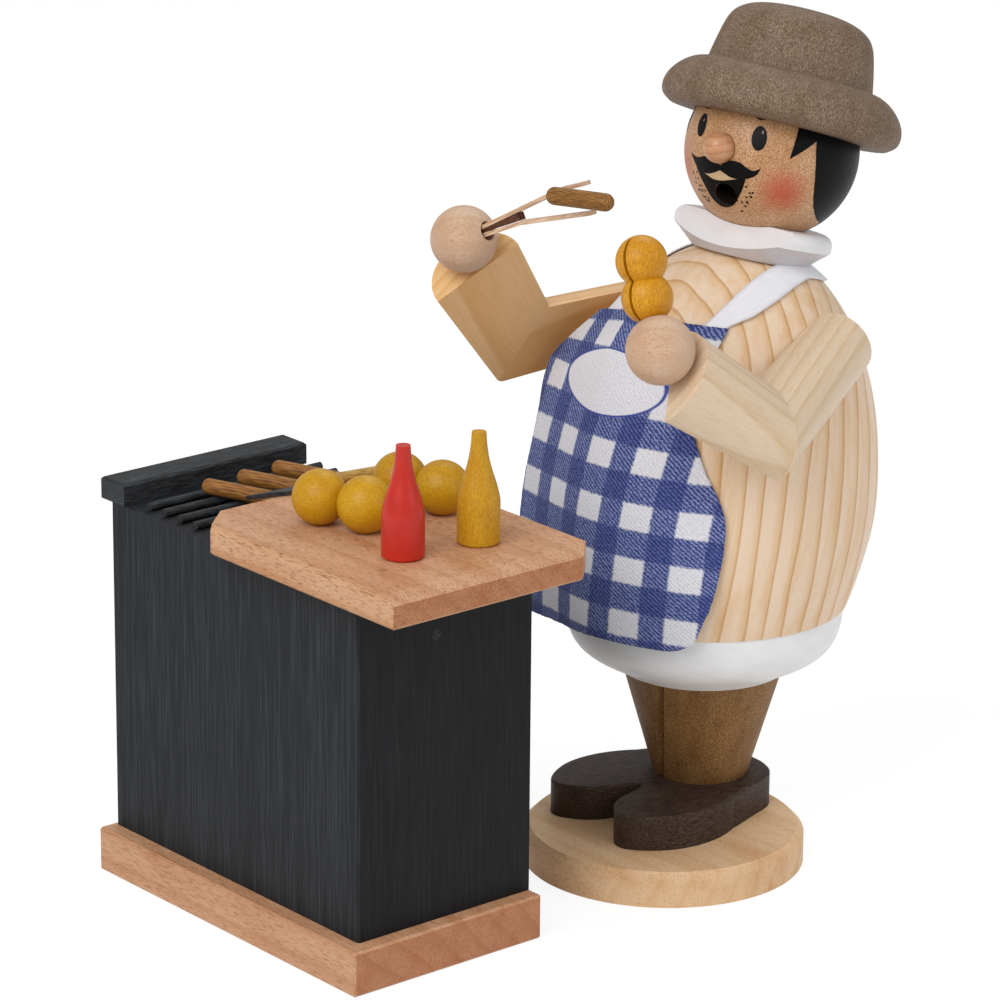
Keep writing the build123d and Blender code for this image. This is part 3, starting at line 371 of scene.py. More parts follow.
print("stains mixed")

# %% [markdown]
# ## Paint
# White and red parts are painted wood. Paint hides the rings but not the lathe marks, so a
# faint relief of fine rings stays, and a very slight change of tone.

# %% Paints
def painted(name, colour, axis_point, axis, roughness=0.4, shade="#f9f8f7", painted_shade_below=None):
    """Painted turned wood; where it faces down its axis a painted shade may darken it."""
    material, tree, place = wood_tree(name, axis_point, axis)
    tool_marks = fibres(tree, place, 40, 0.5, 1)
    tone = lay_tint(tree, paint(colour), fibres(tree, place, 7, 3), 0.3, 0.8, shade)
    # painted shade: darker where the surface faces down its axis
    if painted_shade_below:
        tone = lay_tint(tree, tone, facing(tree, axis), -0.05, -0.35, painted_shade_below)
    return finish_surface(material, tree, tone, roughness, tool_marks, 0.003)


def brushed(name, colour, roughness=0.5, shade="#dcdcdc", axis=UPRIGHT, marks=(0.4, 3), spread=(0.35, 0.75),
            relief_mm=0.004, specular=0.12, metal=0):
    """Dull paint from a brush, or scratched metal: one colour with fine marks."""
    material, tree, place = wood_tree(name, (0, 0, 0), axis)
    lines = fibres(tree, place, *marks)
    tone = lay_tint(tree, paint(colour), lines, *spread, shade)
    return finish_surface(material, tree, tone, roughness, lines, relief_mm, specular, metal=metal)


print("paints mixed")

# %% [markdown]
# ## Where the head is
# The head is a ball, so its centre and size follow from the box round its solid, which it
# touches on both sides, above and behind. Its front leans with the neck and is turned to the
# figure's left. Places on the face are two angles: round the head from its front, toward the
# figure's left, and up from its equator.

# %% The head's frame
NECK_LEAN = radians(15.8)
HEAD_TURN = radians(16.4)
NECK_AXIS = Vector((0, sin(NECK_LEAN), cos(NECK_LEAN)))
low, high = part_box("head")
HEAD_RADIUS = (high.x - low.x) / 2
HEAD_CENTRE = Vector(((low.x + high.x) / 2, high.y - HEAD_RADIUS, high.z - HEAD_RADIUS))
HEAD_AXES = Matrix.Rotation(-NECK_LEAN, 3, "X") @ Matrix.Rotation(HEAD_TURN, 3, "Z")


def face_direction(azimuth, elevation):
    """Direction from the head's centre to a place on the face."""
    return HEAD_AXES @ direction(azimuth, elevation)


print("head radius", round(HEAD_RADIUS / MM, 2), "mm, centre", [round(v / MM, 1) for v in HEAD_CENTRE])

# %% [markdown]
# ## The head's wood
# The face is fine-grained maple under lacquer, with rosy cheeks from an airbrush. A spray
# fades outward and is slightly grainy, so its strength falls with the distance from the
# cheek's middle and noise breaks its edge. The smoke leaves through a bore in the mouth. Its
# wall is painted near-black brown, partly scorched wood and partly painted shade inside the
# bore: the places near the bore's line and below the ball's surface.

# %% Maple with rosy cheeks
CHEEKS = [(43, -22.8), (-53, -20)]
CHEEK_REACH = 8
CHEEK_STRENGTH = 0.9
MOUTH_BORE = (0, -34.3)
BORE_RADIUS = 2.75
WALL_MARGIN = 0.25
WALL_DEPTH = 0.01


def maple_head():
    material, tree, place = wood_tree("turned_maple_with_airbrushed_cheeks", HEAD_CENTRE / MM, NECK_AXIS)
    speckle = fibres(tree, place, 0.3, 0.42, 3)
    colour = three_tones(tree, speckle, 0.3, 0.7, ("#a4764b", "#c0956d", "#d6b38e"))
    colour = lay_tint(tree, colour, fibres(tree, place, 6, 9), 0.3, 0.8, "#f3e4d2")
    spray = fibres(tree, place, 0.28, 0.28, 1)
    grainy = add_node(tree, "MapRange", {0: spray, 1: 0.3, 2: 0.6, 3: 0.72, 4: 1})
    for azimuth, elevation in CHEEKS:
        middle = HEAD_CENTRE + HEAD_RADIUS * face_direction(azimuth, elevation)
        share = add_node(tree, "MapRange", {
            0: distance_to(tree, middle), 1: 0, 2: CHEEK_REACH * MM, 3: CHEEK_STRENGTH, 4: 0},
            interpolation_type="SMOOTHSTEP")
        share = add_node(tree, "Math", {0: share, 1: grainy}, operation="MULTIPLY")
        colour = add_node(tree, "Mix", {0: share, 6: colour, 7: paint("#b8432a")}, out=2, data_type="RGBA")
    here = add_node(tree, "TexCoord", out="Object")
    from_middle = add_node(tree, "VectorMath", {0: here, 1: HEAD_CENTRE}, operation="SUBTRACT")
    sideways = add_node(tree, "VectorMath", {0: from_middle, 1: face_direction(*MOUTH_BORE)},
                        operation="CROSS_PRODUCT")
    from_line = add_node(tree, "VectorMath", {0: sideways}, out="Value", operation="LENGTH")
    near = add_node(tree, "Math", {0: from_line, 1: (BORE_RADIUS + WALL_MARGIN) * MM}, operation="LESS_THAN")
    below = add_node(tree, "Math", {0: distance_to(tree, HEAD_CENTRE), 1: HEAD_RADIUS - WALL_DEPTH * MM},
                     operation="LESS_THAN")
    # partly scorched wood, partly painted shade: the bore's wall is darkened to near black
    scorched_and_shaded_wall = add_node(tree, "Math", {0: near, 1: below}, operation="MULTIPLY")
    colour = add_node(tree, "Mix", {0: scorched_and_shaded_wall, 6: colour, 7: paint("#1c120e")}, out=2, data_type="RGBA")
    return finish_surface(material, tree, colour, 0.42, speckle, 0.01)


def nose_wood():
    material, tree, place = wood_tree("turned_nose_lacquered", middle_mm("nose") + 9 * UPRIGHT, FORWARD)
    rings = growth_rings(tree, place, 1.7, 0.7)
    colour = add_node(tree, "ValToRGB", {0: rings}, stops=[
        (0, "#ce9b73"), (0.6, "#cb956c"), (0.9, "#bd8257"), (1, "#cd9971")])
    colour = lay_tint(tree, colour, fibres(tree, place, 0.3, 1.2), 0.45, 0.75, "#eedccb")
    return finish_surface(material, tree, colour, 0.35, rings, 0.006, 0.5)


print("cheeks reach", CHEEK_REACH, "mm")

# %% [markdown]
# ## A finish for every solid
# The grain of a turned piece mostly runs along the lathe's axis, and that of a board along
# its length. The right arm's tones are warmer and brighter than the left arm's: painted bounce
# light in the shade on that side.

# %% Dress the wooden solids
def dress(material, *names):
    """Give solids one material."""
    for name in names:
        NODES[name].data.materials.clear()
        NODES[name].data.materials.append(material)


BEECH = {
    "stand_base": ("planed_beech_board", (-20, -160, -75), 6, ("#cfa07c", "#c4916b", "#b07a52"), "#ecd6c8"),
    "worktop": ("sawn_beech_worktop", (-20, -190, -20), 5.5, ("#cfa17c", "#c4936b", "#a06b45"), "#e6cdbb"),
    "base_disc": ("turned_beech_foot", (0, 60, -30), 5, ("#e9c69c", "#e3bc8f", "#d3a678"), None, (0.2, 1.3))}
for name, (finish, pith, *look) in BEECH.items():
    dress(beech(finish, pith, ACROSS, *look), name)
dress(spruce_body(), "torso")
ARM_PITH = (55, 20)
HAND_PITH = Vector((0, 60, 30))
HAND_GRAIN = Vector((1, 0.9, 0.1)).normalized()
HAND_TONES = ("#d3b59c", "#cfaf94", "#be9877")
LEFT_TONES = ("#e4ceb4", "#e1caae", "#dabe9b")
# painted bounce light: the right arm's tones are warmer and brighter than the left's
RIGHT_TONES_WITH_PAINTED_BOUNCE = ("#ebc28d", "#e8bb80", "#dfae70")
for side, tones in (("left", LEFT_TONES), ("right", RIGHT_TONES_WITH_PAINTED_BOUNCE)):
    for part, stick in (("forearm", "wrist_dowel"), ("upper_arm", "upper_arm")):
        name = f"{side}_{part}"
        grain = long_way(f"{side}_{stick}")
        pith = middle_mm(name) + ARM_PITH[0] * grain.cross(UPRIGHT).normalized()
        pith += ARM_PITH[1] * grain.cross(ACROSS).normalized()
        dress(limewood("sawn_limewood_" + name, pith, grain, 2.8, tones), name)
    name = side + "_hand"
    dress(beech("turned_beech_" + name, middle_mm(name) + HAND_PITH, HAND_GRAIN, 6, HAND_TONES,
                flecks=(0.16, 1.2)), name)
dress(maple_head(), "head")
dress(nose_wood(), "nose")
dress(stained("grey_brown_stained_hat", middle_mm("hat"), NECK_AXIS, ("#624e3c", "#7c6653", "#98836f"),
              (0.32, 0.5), roughness=0.62), "hat")
brown_trousers = stained("brown_stained_trousers", middle_mm("legs"), UPRIGHT,
                         ("#644524", "#8a6338", "#ab8557"), (0.24, 0.45), (0.25, 0.75), 0.6, cloud="#e2d6c6")
dress(brown_trousers, "legs")
dress(stained("dark_stained_shoes", middle_mm("shoes"), FORWARD, ("#271b15", "#3f2e26", "#544338"),
              (0.3, 2.5), roughness=0.58), "shoes")
dress(painted("white_painted_hem", "#eff0f1", middle_mm("hem_bowl"), UPRIGHT), "hem_bowl")
# the collar's outer face, which faces down, gets a painted shade
dress(painted("white_painted_collar", "#ecebee", middle_mm("collar"), NECK_AXIS, painted_shade_below="#dedbdb"),
      "collar")
print("wooden solids dressed")

# %% [markdown]
# ## The goods on the stand
# Sticks and balls have strong stains: mustard yellow, sausage brown and black. Stain stands
# in the pores, so the fine grain shows as darker dashes.

# %% Dress the grill stand and what is held
dress(black_grill(), "stand_block")
rods = [name for name in NODES if name.startswith("grill_rod")]
dress(stained("black_stained_rail", (0, 0, 0), FORWARD, ("#1b1d20", "#2a2d31", "#3d4247"), relief_mm=0.05,
              roughness=0.62), "grill_rail", *rods)
SAUSAGES = [name for name in NODES if name.startswith("grill_sausage")]
SAUSAGE_BROWN = ("#6b4220", "#96652f", "#b07c40")
STICKS = [
    *((name, "brown_stained_" + name, SAUSAGE_BROWN, (0.25, 4), 0.45) for name in SAUSAGES),
    ("held_sausage", "brown_stained_held_sausage", ("#684519", "#8c612b", "#ad7c3d"), (0.2, 1.8), 0.45),
    ("knife_blade", "dark_stained_blade", ("#232527", "#36393c", "#4a4d50"), (0.3, 3), 0.45),
    ("knife_handle", "pale_yellow_knife_handle", ("#94702c", "#b99243", "#cfab62"), (0.3, 3), 0.45),
    ("tongs_wedge", "dark_stained_wedge", ("#3c2112", "#5c3520", "#73482e"), (0.25, 3), 0.5),
    ("tongs_upper", "steamed_thin_strips", ("#c49c7a", "#dbb898", "#e8ceb4"), (0.25, 6), 0.5)]
for name, finish, tones, grains, roughness in STICKS:
    dress(stained_lengthwise(finish, name, tones, grains, roughness=roughness), name)
dress(NODES["tongs_upper"].data.materials[0], "tongs_lower")
YELLOWS = {"bun_front": ("#b1820c", "#cb9a12", "#dbae24"), "bun_back": ("#a87b0c", "#c49412", "#d6a824"),
           "held_bun": ("#ab720c", "#d3951a", "#eeb02c"), "yellow_bottle": ("#a97c14", "#c9971c", "#d8aa2e")}
for name, tones in YELLOWS.items():
    dress(stained_lengthwise("yellow_stained_" + name, name, tones, (0.22, 1.1), (0.12, 0.88), 0.42,
                             cloud="#f4ead4"), name)
dress(painted("red_painted_bottle", "#c4291a", middle_mm("red_bottle"), UPRIGHT, 0.34, "#f3e8e5"),
      "red_bottle")
dress(stained("raw_beech_dowel", (0, 0, 0), UPRIGHT, ("#b88f62", "#cfaa7c", "#dcc298")),
      *(name for name in NODES if name.endswith("dowel")))
METAL = ("#e4e0d8", ACROSS, (0.2, 2), (0.4, 0.7), 0.01, 0.5, 1)
dress(brushed("pressed_brass_dish", "#cfae62", 0.35, *METAL), "cone_dish")
dress(brushed("steel_tack", "#a9a8a4", 0.3, *METAL), "dish_tack")
bare = [name for name, solid in NODES.items() if not solid.data.materials or solid.data.materials[0] is None]
print("solids without a finish:", bare)

# %% [markdown]
# ## Trouser legs
# A saw cut down the front, and another down the back, part the turned cone into two legs.
# The cut stands upright while the cone widens, so each ring of points starts at the cut's
# own angle on that level.

# %% Trousers with their saw cuts
TROUSERS_AXIS = Vector((-4.57, 15.33, 0)) * MM
FOOT_RADIUS = 10.9 * MM
WAIST_RADIUS = 18.5 * MM
CUT_WIDE = 2.2 * MM
CUT_DEEP = 1.5 * MM
CUT_STEPS = 4
cut_levels = [(16, -8), (17, -6), (20, -1), (25, 5), (30, 9), (35, 12.5), (40, 15.5),
              (42, 16.2)]


def saw_cut_cone(name, rows=40, around=44):
    """Cone as high as a solid, with two V cuts at the cut's angle on each level."""
    low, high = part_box(name)
    places = []
    for row in range(rows + 1):
        radius = FOOT_RADIUS + row / rows * (WAIST_RADIUS - FOOT_RADIUS)
        level = low.z + row / rows * (high.z - low.z)
        cut_angle = radians(np.interp(level / MM, *zip(*cut_levels)))
        half = CUT_WIDE / 2 / radius
        across_cut = [step / CUT_STEPS for step in range(-CUT_STEPS, CUT_STEPS + 1)]
        ring = [(half * share, CUT_DEEP * (1 - abs(share))) for share in across_cut]
        ring += [(half + (pi - 2 * half) * step / around, 0) for step in range(1, around)]
        for side in (0, pi):
            for angle, depth in ring:
                a, r = cut_angle + side + angle, radius - depth
                places.append(TROUSERS_AXIS + Vector((r * sin(a), -r * cos(a), level)))
    width = 2 * (around + 2 * CUT_STEPS)
    ends = [tuple(range(width))[::-1], tuple(range(rows * width, (rows + 1) * width))]
    piece = build_piece("trousers", places, grid_faces(rows, width, closed=True) + ends, brown_trousers)
    piece.data.set_sharp_from_angle(angle=radians(35))
    return piece


trousers = saw_cut_cone("legs")
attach(trousers, "lower")
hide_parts("legs")
print("saw cuts", CUT_WIDE / MM, "mm wide and", CUT_DEEP / MM, "mm deep")

# %% [markdown]
# ## Painted face
# Eyes, brows, moustache, mouth and hair are flat paint with crisp edges. A crisp edge needs
# geometry, so each patch is its own thin skin: an outline in the two angles of the face,
# rounded by a spline except at marked corners, filled with triangles and laid a few
# hundredths of a millimetre above the ball.

# %% Patches of paint on the ball
PAINT_STAND = 0.05 * MM
LONGEST_EDGE = 2


def smooth_outline(points, corners=(), steps=8):
    """Closed outline through points, rounded by a spline except at the corners."""
    count, rounded = len(points), []
    for index in range(count):
        here, following = Vector(points[index]), Vector(points[(index + 1) % count])
        before = Vector(points[index - 1]) if index not in corners else here
        after = Vector(points[(index + 2) % count]) if (index + 1) % count not in corners else following
        rounded += [spline(before, here, following, after, step / steps) for step in range(steps)]
    return rounded


def inside(point, outline):
    """Whether a point lies inside a closed outline."""
    x, y = point
    crossed = False
    for (ax, ay), (bx, by) in zip(outline, outline[1:] + outline[:1]):
        if (ay > y) != (by > y) and x < ax + (y - ay) * (bx - ax) / (by - ay):
            crossed = not crossed
    return crossed


def short_edges(outline):
    """Outline with points added, so that every edge follows the ball."""
    fine = []
    for first, second in zip(outline, outline[1:] + outline[:1]):
        first, second = Vector(first), Vector(second)
        pieces = int((second - first).length / LONGEST_EDGE) + 1
        fine += [first.lerp(second, piece / pieces) for piece in range(pieces)]
    return fine


def flat_fill(outline, hole=(), grid=3):
    """Points and triangles that fill an outline in face angles, with a hole left free."""
    points, edges = [], []
    for loop in (short_edges(outline), hole):
        start, count = len(points), len(loop)
        points += [Vector(point) for point in loop]
        edges += [(start + index, start + (index + 1) % count) for index in range(count)]
    xs, ys = zip(*outline)
    for x in np.arange(min(xs) + grid / 2, max(xs), grid):
        for y in np.arange(min(ys) + grid / 2, max(ys), grid):
            if inside((x, y), outline):
                points.append(Vector((x, y)))
    spots, _, faces, _, _, _ = delaunay_2d_cdt(points, edges, [], 0, 1e-6)
    kept = []
    for face in faces:
        middle = sum((spots[i] for i in face), Vector((0, 0))) / len(face)
        if inside(middle, outline) and not (hole and inside(middle, hole)):
            kept.append(face[::-1])
    return spots, kept


def paint_skin(name, fills, material, stand=1):
    """Skin of paint on the head from filled outlines, laid a number of coats up."""
    reach = HEAD_RADIUS + stand * PAINT_STAND
    places, faces = [], []
    for spots, triangles in fills:
        start = len(places)
        places += [HEAD_CENTRE + reach * face_direction(*spot) for spot in spots]
        faces += [[start + index for index in triangle] for triangle in triangles]
    piece = build_piece(name, places, faces, material)
    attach(piece, "upper")
    return piece


def ellipse(middle, half_wide, half_high, tilt=0, count=40):
    """Ellipse in face angles, its width given as an angle on the ball itself."""
    turn = radians(tilt)
    stretch = 1 / cos(radians(middle[1]))
    points = []
    for step in range(count):
        a = 2 * pi * step / count
        x, y = half_wide * cos(a), half_high * sin(a)
        across, rise = x * cos(turn) - y * sin(turn), x * sin(turn) + y * cos(turn)
        points.append((middle[0] + across * stretch, middle[1] + rise))
    return points


black_paint = brushed("black_face_paint", "#0d0a0a")
eye_paint = brushed("black_eye_paint", "#140f0e", 0.42)
glint_paint = brushed("pale_eye_glint", "#8f857d")
lip_paint = brushed("pale_lip_line", "#cdb08a", shade="#f4f0ea")
brow_paint = brushed("brown_brow_paint", "#2b1a15")
hair_paint = brushed("black_satin_hair", "#0c0c0d", 0.45)
print("face paints mixed")

# %% [markdown]
# ## The face's features
# The mouth is one black patch round the smoke bore. A pale sliver of lip lies between it and
# the two wings of the moustache, which meet under the nose. The hair has a pointed lock in
# front of the ear and then falls straight to the nape; its far side is the mirror image.

# %% Eyes, brows, mouth and moustache
bore_angle = degrees(BORE_RADIUS * MM / HEAD_RADIUS)
paint_skin("painted_eyes", [flat_fill(ellipse((-28.4, 7.8), 4.7, 7.9, 14)),
                            flat_fill(ellipse((18.9, 8.5), 5, 8.1, 7))], eye_paint)
# painted highlight: a small pale glint in each eye, standing in for the lamp's reflection
paint_skin("eye_glints", [flat_fill(ellipse((-27.7, 11), 0.6, 1.2, 10), grid=1),
                          flat_fill(ellipse((20.3, 12.7), 0.7, 1.3, 10), grid=1)], glint_paint, 2)
right_brow = smooth_outline([(-39, 20.6), (-29, 18.9), (-22.6, 22.6), (-29, 27)])
left_brow = smooth_outline([(10.6, 22.8), (16.3, 20.3), (23, 23.6), (16, 27)])
paint_skin("painted_brows", [flat_fill(right_brow), flat_fill(left_brow)], brow_paint)
mouth = smooth_outline([
    (-28.5, -19.8), (-19.1, -22.4), (-11, -24.8), (-3.6, -24.6), (3.6, -22.8), (9, -21.2), (15.6, -18.9),
    (14.2, -26.6), (11, -34.8), (7.4, -40.6), (1, -44.4), (-7, -45.4), (-13.4, -42.8), (-17.4, -38.4),
    (-20.8, -32), (-25, -25.2)], corners=(0, 6))
paint_skin("painted_mouth", [flat_fill(mouth, ellipse(MOUTH_BORE, bore_angle, bore_angle), 1.5)], black_paint)
lip = smooth_outline([
    (-21, -21.6), (-13, -20), (-8.5, -19), (-4.3, -17.8), (0.4, -18.9), (5, -19.6), (10.6, -20.4),
    (3.6, -22.8), (-3.6, -24.7), (-11, -24.9)], corners=(0, 6))
paint_skin("pale_lip", [flat_fill(lip, grid=1.5)], lip_paint, 1.5)
moustache = smooth_outline([
    (-35.1, -11.4), (-26.7, -13.4), (-18.3, -11.2), (-10.8, -11.2), (-4.3, -14.6), (2, -10.2), (9.6, -9.6),
    (15.8, -12.2), (20.3, -12.8), (24.5, -9.9), (22.4, -15), (17.9, -18.4), (11.4, -20.6), (5, -20.9),
    (0.6, -19.6), (-4.2, -17.8), (-9.2, -20.4), (-15.6, -22.4), (-22, -21.8), (-27.4, -19.6),
    (-31.6, -15.8)], corners=(0, 4, 9, 15))
paint_skin("painted_moustache", [flat_fill(moustache, grid=1.5)], black_paint, 2)
print("mouth of", len(mouth), "points round a bore of", 2 * BORE_RADIUS, "mm")

# %% Hair
FACE_MIDDLE = -5
HAIR_TOP = 40
TOP_STEP = 22.7
HAIR_SIDE = [
    (43.5, 30), (43.5, 21.6), (42.2, 10.1), (41, -0.3), (48.6, 6), (57.4, 14.3), (58, 7.5),
    (59.4, 0.9), (61, -6.2), (63.2, -13.6), (66.4, -21.6), (71.2, -28.6), (78, -34.4), (87, -39),
    (101.5, -42.6), (120, -48), (150, -54), (178, -56)]
far_side = [(2 * FACE_MIDDLE - azimuth + 360, elevation) for azimuth, elevation in reversed(HAIR_SIDE)]
top = [(far_side[-1][0] - step * TOP_STEP, HAIR_TOP) for step in range(1, 12)]
paint_skin("painted_hair", [flat_fill(HAIR_SIDE + far_side + top)], hair_paint)
print("hair from", HAIR_SIDE[1], "down to", HAIR_SIDE[-1])

# %% [markdown]
# ## Stubble
# The chin is unshaven: two patches of small painted dots, one on each side of the mouth. The
# dots stand on a loose lattice that a seeded random draw shakes, so every run is the same.

# %% Stubble
DOT_SPACING = 4.1
DOT_SIZES = (0.65, 1.05)
DOT_CHANCE = 0.8
LATTICE = 16
LATTICE_TOP = -20
RIGHT_CHIN = [(-35.5, -23.5), (-27.6, -23), (-21.8, -33), (-16, -42.6), (-21, -50), (-33, -42)]
LEFT_CHIN = [(14.6, -22), (21.6, -20.6), (22.4, -30), (19.6, -40), (13, -48), (4, -46),
             (10.8, -35)]
draw = random.Random(7)
dots = []
for patch in (RIGHT_CHIN, LEFT_CHIN):
    start = patch[0][0] - 4
    for column in range(LATTICE):
        for row in range(LATTICE):
            loose = Vector((draw.uniform(-1, 1), draw.uniform(-1, 1)))
            across = start + (column + row % 2 / 2) * DOT_SPACING
            spot = Vector((across, LATTICE_TOP - row * DOT_SPACING)) + loose
            if inside(spot, patch) and not inside(spot, mouth) and draw.random() < DOT_CHANCE:
                size = draw.uniform(*DOT_SIZES)
                dots.append(flat_fill(ellipse(spot, size, size * 1.2, draw.uniform(0, 90), 10), grid=5))
paint_skin("stubble", dots, brow_paint)
print("stubble dots:", len(dots))

# %% [markdown]
# ## Gingham cloth
# Gingham is woven from blue and white threads in equal bands, both ways. Where blue crosses
# blue the cloth is deep blue, where blue crosses white it is mixed, and elsewhere it is
# white. The weave is a twill with slanting threads about 0.3 mm apart, drawn 0.8 mm apart so
# that they show. The pattern follows the flat cloth, whose place is stored on the mesh in
# millimetres. The check was cut a little askew, so its bands count along two slightly
# slanting directions. An oval on the bib is left white and bare, with a thin blue edge.

# %% Gingham
CHECK_START = (-26.2, 35.15)
ACROSS_COUNT = (0.07595, -0.00623, 0)
UP_COUNT = (-0.00244, 0.08059, 0)
WHITE_SHARES = (0.55, 0.48)
MIXED_BLUES = ("#8b95c2", "#36447f")
DEEP_BLUES = ("#5f6ba4", "#2c3872")
RAGGED_MM = 0.9
TWILL_PITCH = 0.8
OVAL_MIDDLE = (-4.3, 50.6)
OVAL_HALF = (16.6, 6.9)
OVAL_TILT = 3


def blue_band(tree, from_start, count, white_share):
    """0 in the white bands and 1 in the blue ones, with a slightly ragged edge."""
    counted = add_node(tree, "VectorMath", {0: from_start, 1: count}, out="Value", operation="DOT_PRODUCT")
    folded = add_node(tree, "Math", {0: counted, 1: 0.5}, operation="PINGPONG")
    return add_node(tree, "MapRange", {0: folded, 1: white_share / 2 - 0.02, 2: white_share / 2 + 0.02})


def gingham():
    material, tree = new_tree("woven_cotton_gingham")
    flat = add_node(tree, "Attribute", attribute_name="cloth_mm", out="Vector")
    ragged = add_node(tree, "TexNoise", {"Vector": flat, "Scale": 1.6, "Detail": 2}, out="Color")
    shifted = add_node(tree, "VectorMath", {0: ragged, 1: (RAGGED_MM, RAGGED_MM, 0), 2: flat},
                       operation="MULTIPLY_ADD")
    start = (CHECK_START[0] + RAGGED_MM / 2, CHECK_START[1] + RAGGED_MM / 2, 0)
    from_start = add_node(tree, "VectorMath", {0: shifted, 1: start}, operation="SUBTRACT")
    warp = blue_band(tree, from_start, ACROSS_COUNT, WHITE_SHARES[0])
    weft = blue_band(tree, from_start, UP_COUNT, WHITE_SHARES[1])
    slant = add_node(tree, "VectorMath", {0: shifted, 1: (0.6, 0.8, 0)}, out="Value", operation="DOT_PRODUCT")
    turns = add_node(tree, "Math", {0: slant, 1: 2 * pi / TWILL_PITCH}, operation="MULTIPLY")
    twill = add_node(tree, "Math", {0: turns}, operation="SINE")
    fleck = add_node(tree, "TexNoise", {"Vector": flat, "Scale": 2.2, "Detail": 3}, out="Fac")
    wave = add_node(tree, "Math", {0: fleck, 1: 4.4, 2: -2.2}, operation="MULTIPLY_ADD")
    thread = add_node(tree, "Math", {0: twill, 1: wave}, operation="ADD")
    blue = add_node(tree, "MapRange", {0: thread, 1: -1.3, 2: 0.7}, interpolation_type="SMOOTHSTEP")
    mixed, deep = (add_node(tree, "Mix", {0: blue, 6: paint(pale), 7: paint(dark)}, out=2, data_type="RGBA")
                   for pale, dark in (MIXED_BLUES, DEEP_BLUES))
    white = lay_tint(tree, paint("#e9e9ee"), fleck, 0.3, 0.8, "#e6e7ee")
    either = add_node(tree, "Math", {0: warp, 1: weft}, operation="MAXIMUM")
    both = add_node(tree, "Math", {0: warp, 1: weft}, operation="MULTIPLY")
    oval_place = add_node(tree, "Mapping", {
        0: flat, "Location": (*OVAL_MIDDLE, 0), "Scale": (*OVAL_HALF, 1),
        "Rotation": (0, 0, radians(OVAL_TILT))}, vector_type="TEXTURE")
    reach = add_node(tree, "VectorMath", {0: oval_place}, out="Value", operation="LENGTH")
    ring = add_node(tree, "MapRange", {0: reach, 1: 1.06, 2: 1.03})
    field = add_node(tree, "MapRange", {0: reach, 1: 1.01, 2: 0.98})
    colour = white
    for share, tone in ((either, mixed), (both, deep), (ring, paint("#3b4b98")), (field, white)):
        colour = add_node(tree, "Mix", {0: share, 6: colour, 7: tone}, out=2, data_type="RGBA")
    return finish_surface(material, tree, colour, 0.9, thread, 0.04, 0.15, sheen=0.1)


print("one check of the gingham is about", round(1 / ACROSS_COUNT[0], 1), "mm")

# %% [markdown]
# ## The apron
# The apron is one flat piece of cloth, glued along the bib. It follows the belly round to
# the figure's right front and then leaves it as a flat flap. The flat cut is a patch between
# four edges: each place is a distance round the body and a level up its axis, and one
# function carries it to the body. The free hem swings a little, as stiff cotton does, the
# free top corner sags, and the cut edge frays.

# %% The body's egg
BODY_FRONT = Vector((0, -cos(BODY_LEAN), sin(BODY_LEAN)))
BODY_FOOT = Vector((-4.57, 14.59, 58)) * MM
BELLY_RADIUS = 36.48
BELLY_LEVEL = 23.96
TOP_REACH = 58.6
FOOT_REACH = 74.9
TOP_FULLNESS = 2.06
FOOT_FULLNESS = 1.526
HEM_HANG = 0.45


def body_radius(level):
    """Radius of the body in mm at a level in mm up its axis."""
    reach, fullness = (FOOT_REACH, FOOT_FULLNESS) if level < BELLY_LEVEL else (TOP_REACH, TOP_FULLNESS)
    share = min(abs(level - BELLY_LEVEL) / reach, 1)
    return BELLY_RADIUS * (1 - share ** fullness) ** (1 / fullness)


def on_body(azimuth, level, stand):
    """Place at an angle round the body and a level, a distance outside it."""
    a = radians(azimuth)
    outward = sin(a) * ACROSS + cos(a) * BODY_FRONT
    slope = body_radius(level + 0.5) - body_radius(level - 0.5)
    normal = (outward - slope * BODY_AXIS).normalized()
    return BODY_FOOT + (body_radius(level) * outward + level * BODY_AXIS + stand * normal) * MM


print("belly radius", BELLY_RADIUS, "mm")

# %% The cut of the cloth
FREE_FROM = -15
CLOTH_STAND = 0.75
CLOTH_THICK = 0.55
FRAY = 0.08
CORNER_SAG = 0.2
SWING = 0.5
SWING_WAVE = 0.23
SWING_PHASE = 0.9
SWING_LEVELS = (-9, 25)
SAG_LEVELS = (50, 66)
apron_top = [(-20.8, 66), (0, 66.2), (18.8, 67)]
apron_left = [(18.8, 67), (19.2, 62), (19.2, 54), (21.4, 45), (25.4, 37.6), (30.2, 30.6),
              (32.4, 25), (32.3, 17), (30.6, 8), (28.4, 2)]
apron_foot = [(28.4, 2), (26.4, -2.4), (22, -5), (15, -5.6), (4, -5.9), (-8, -6.8),
              (-18, -7.4), (-26, -8)]
apron_right = [(-26, -8), (-30, -6.4), (-32.6, -1.5), (-33, 8), (-31.6, 20), (-30, 31),
               (-30, 39), (-31.4, 45.6), (-30.6, 52), (-26, 59.6), (-20.8, 66)]


def share_between(value, low, high):
    """0 below low, 1 above high and even between them."""
    return min(max((value - low) / (high - low), 0), 1)


def along(points, count):
    """Places at even steps along a smooth line through points."""
    curve = [Vector(point) for point in points]
    curve = [2 * curve[0] - curve[1]] + curve + [2 * curve[-1] - curve[-2]]
    fine = [spline(*four, step / 20) for four in zip(curve, curve[1:], curve[2:], curve[3:])
            for step in range(20)]
    fine.append(Vector(points[-1]))
    reach = np.concatenate([[0], np.cumsum([(b - a).length for a, b in zip(fine, fine[1:])])])
    wanted = np.linspace(0, reach[-1], count + 1)
    across, levels = (np.interp(wanted, reach, [spot[axis] for spot in fine]) for axis in (0, 1))
    return [Vector(spot) for spot in zip(across, levels)]


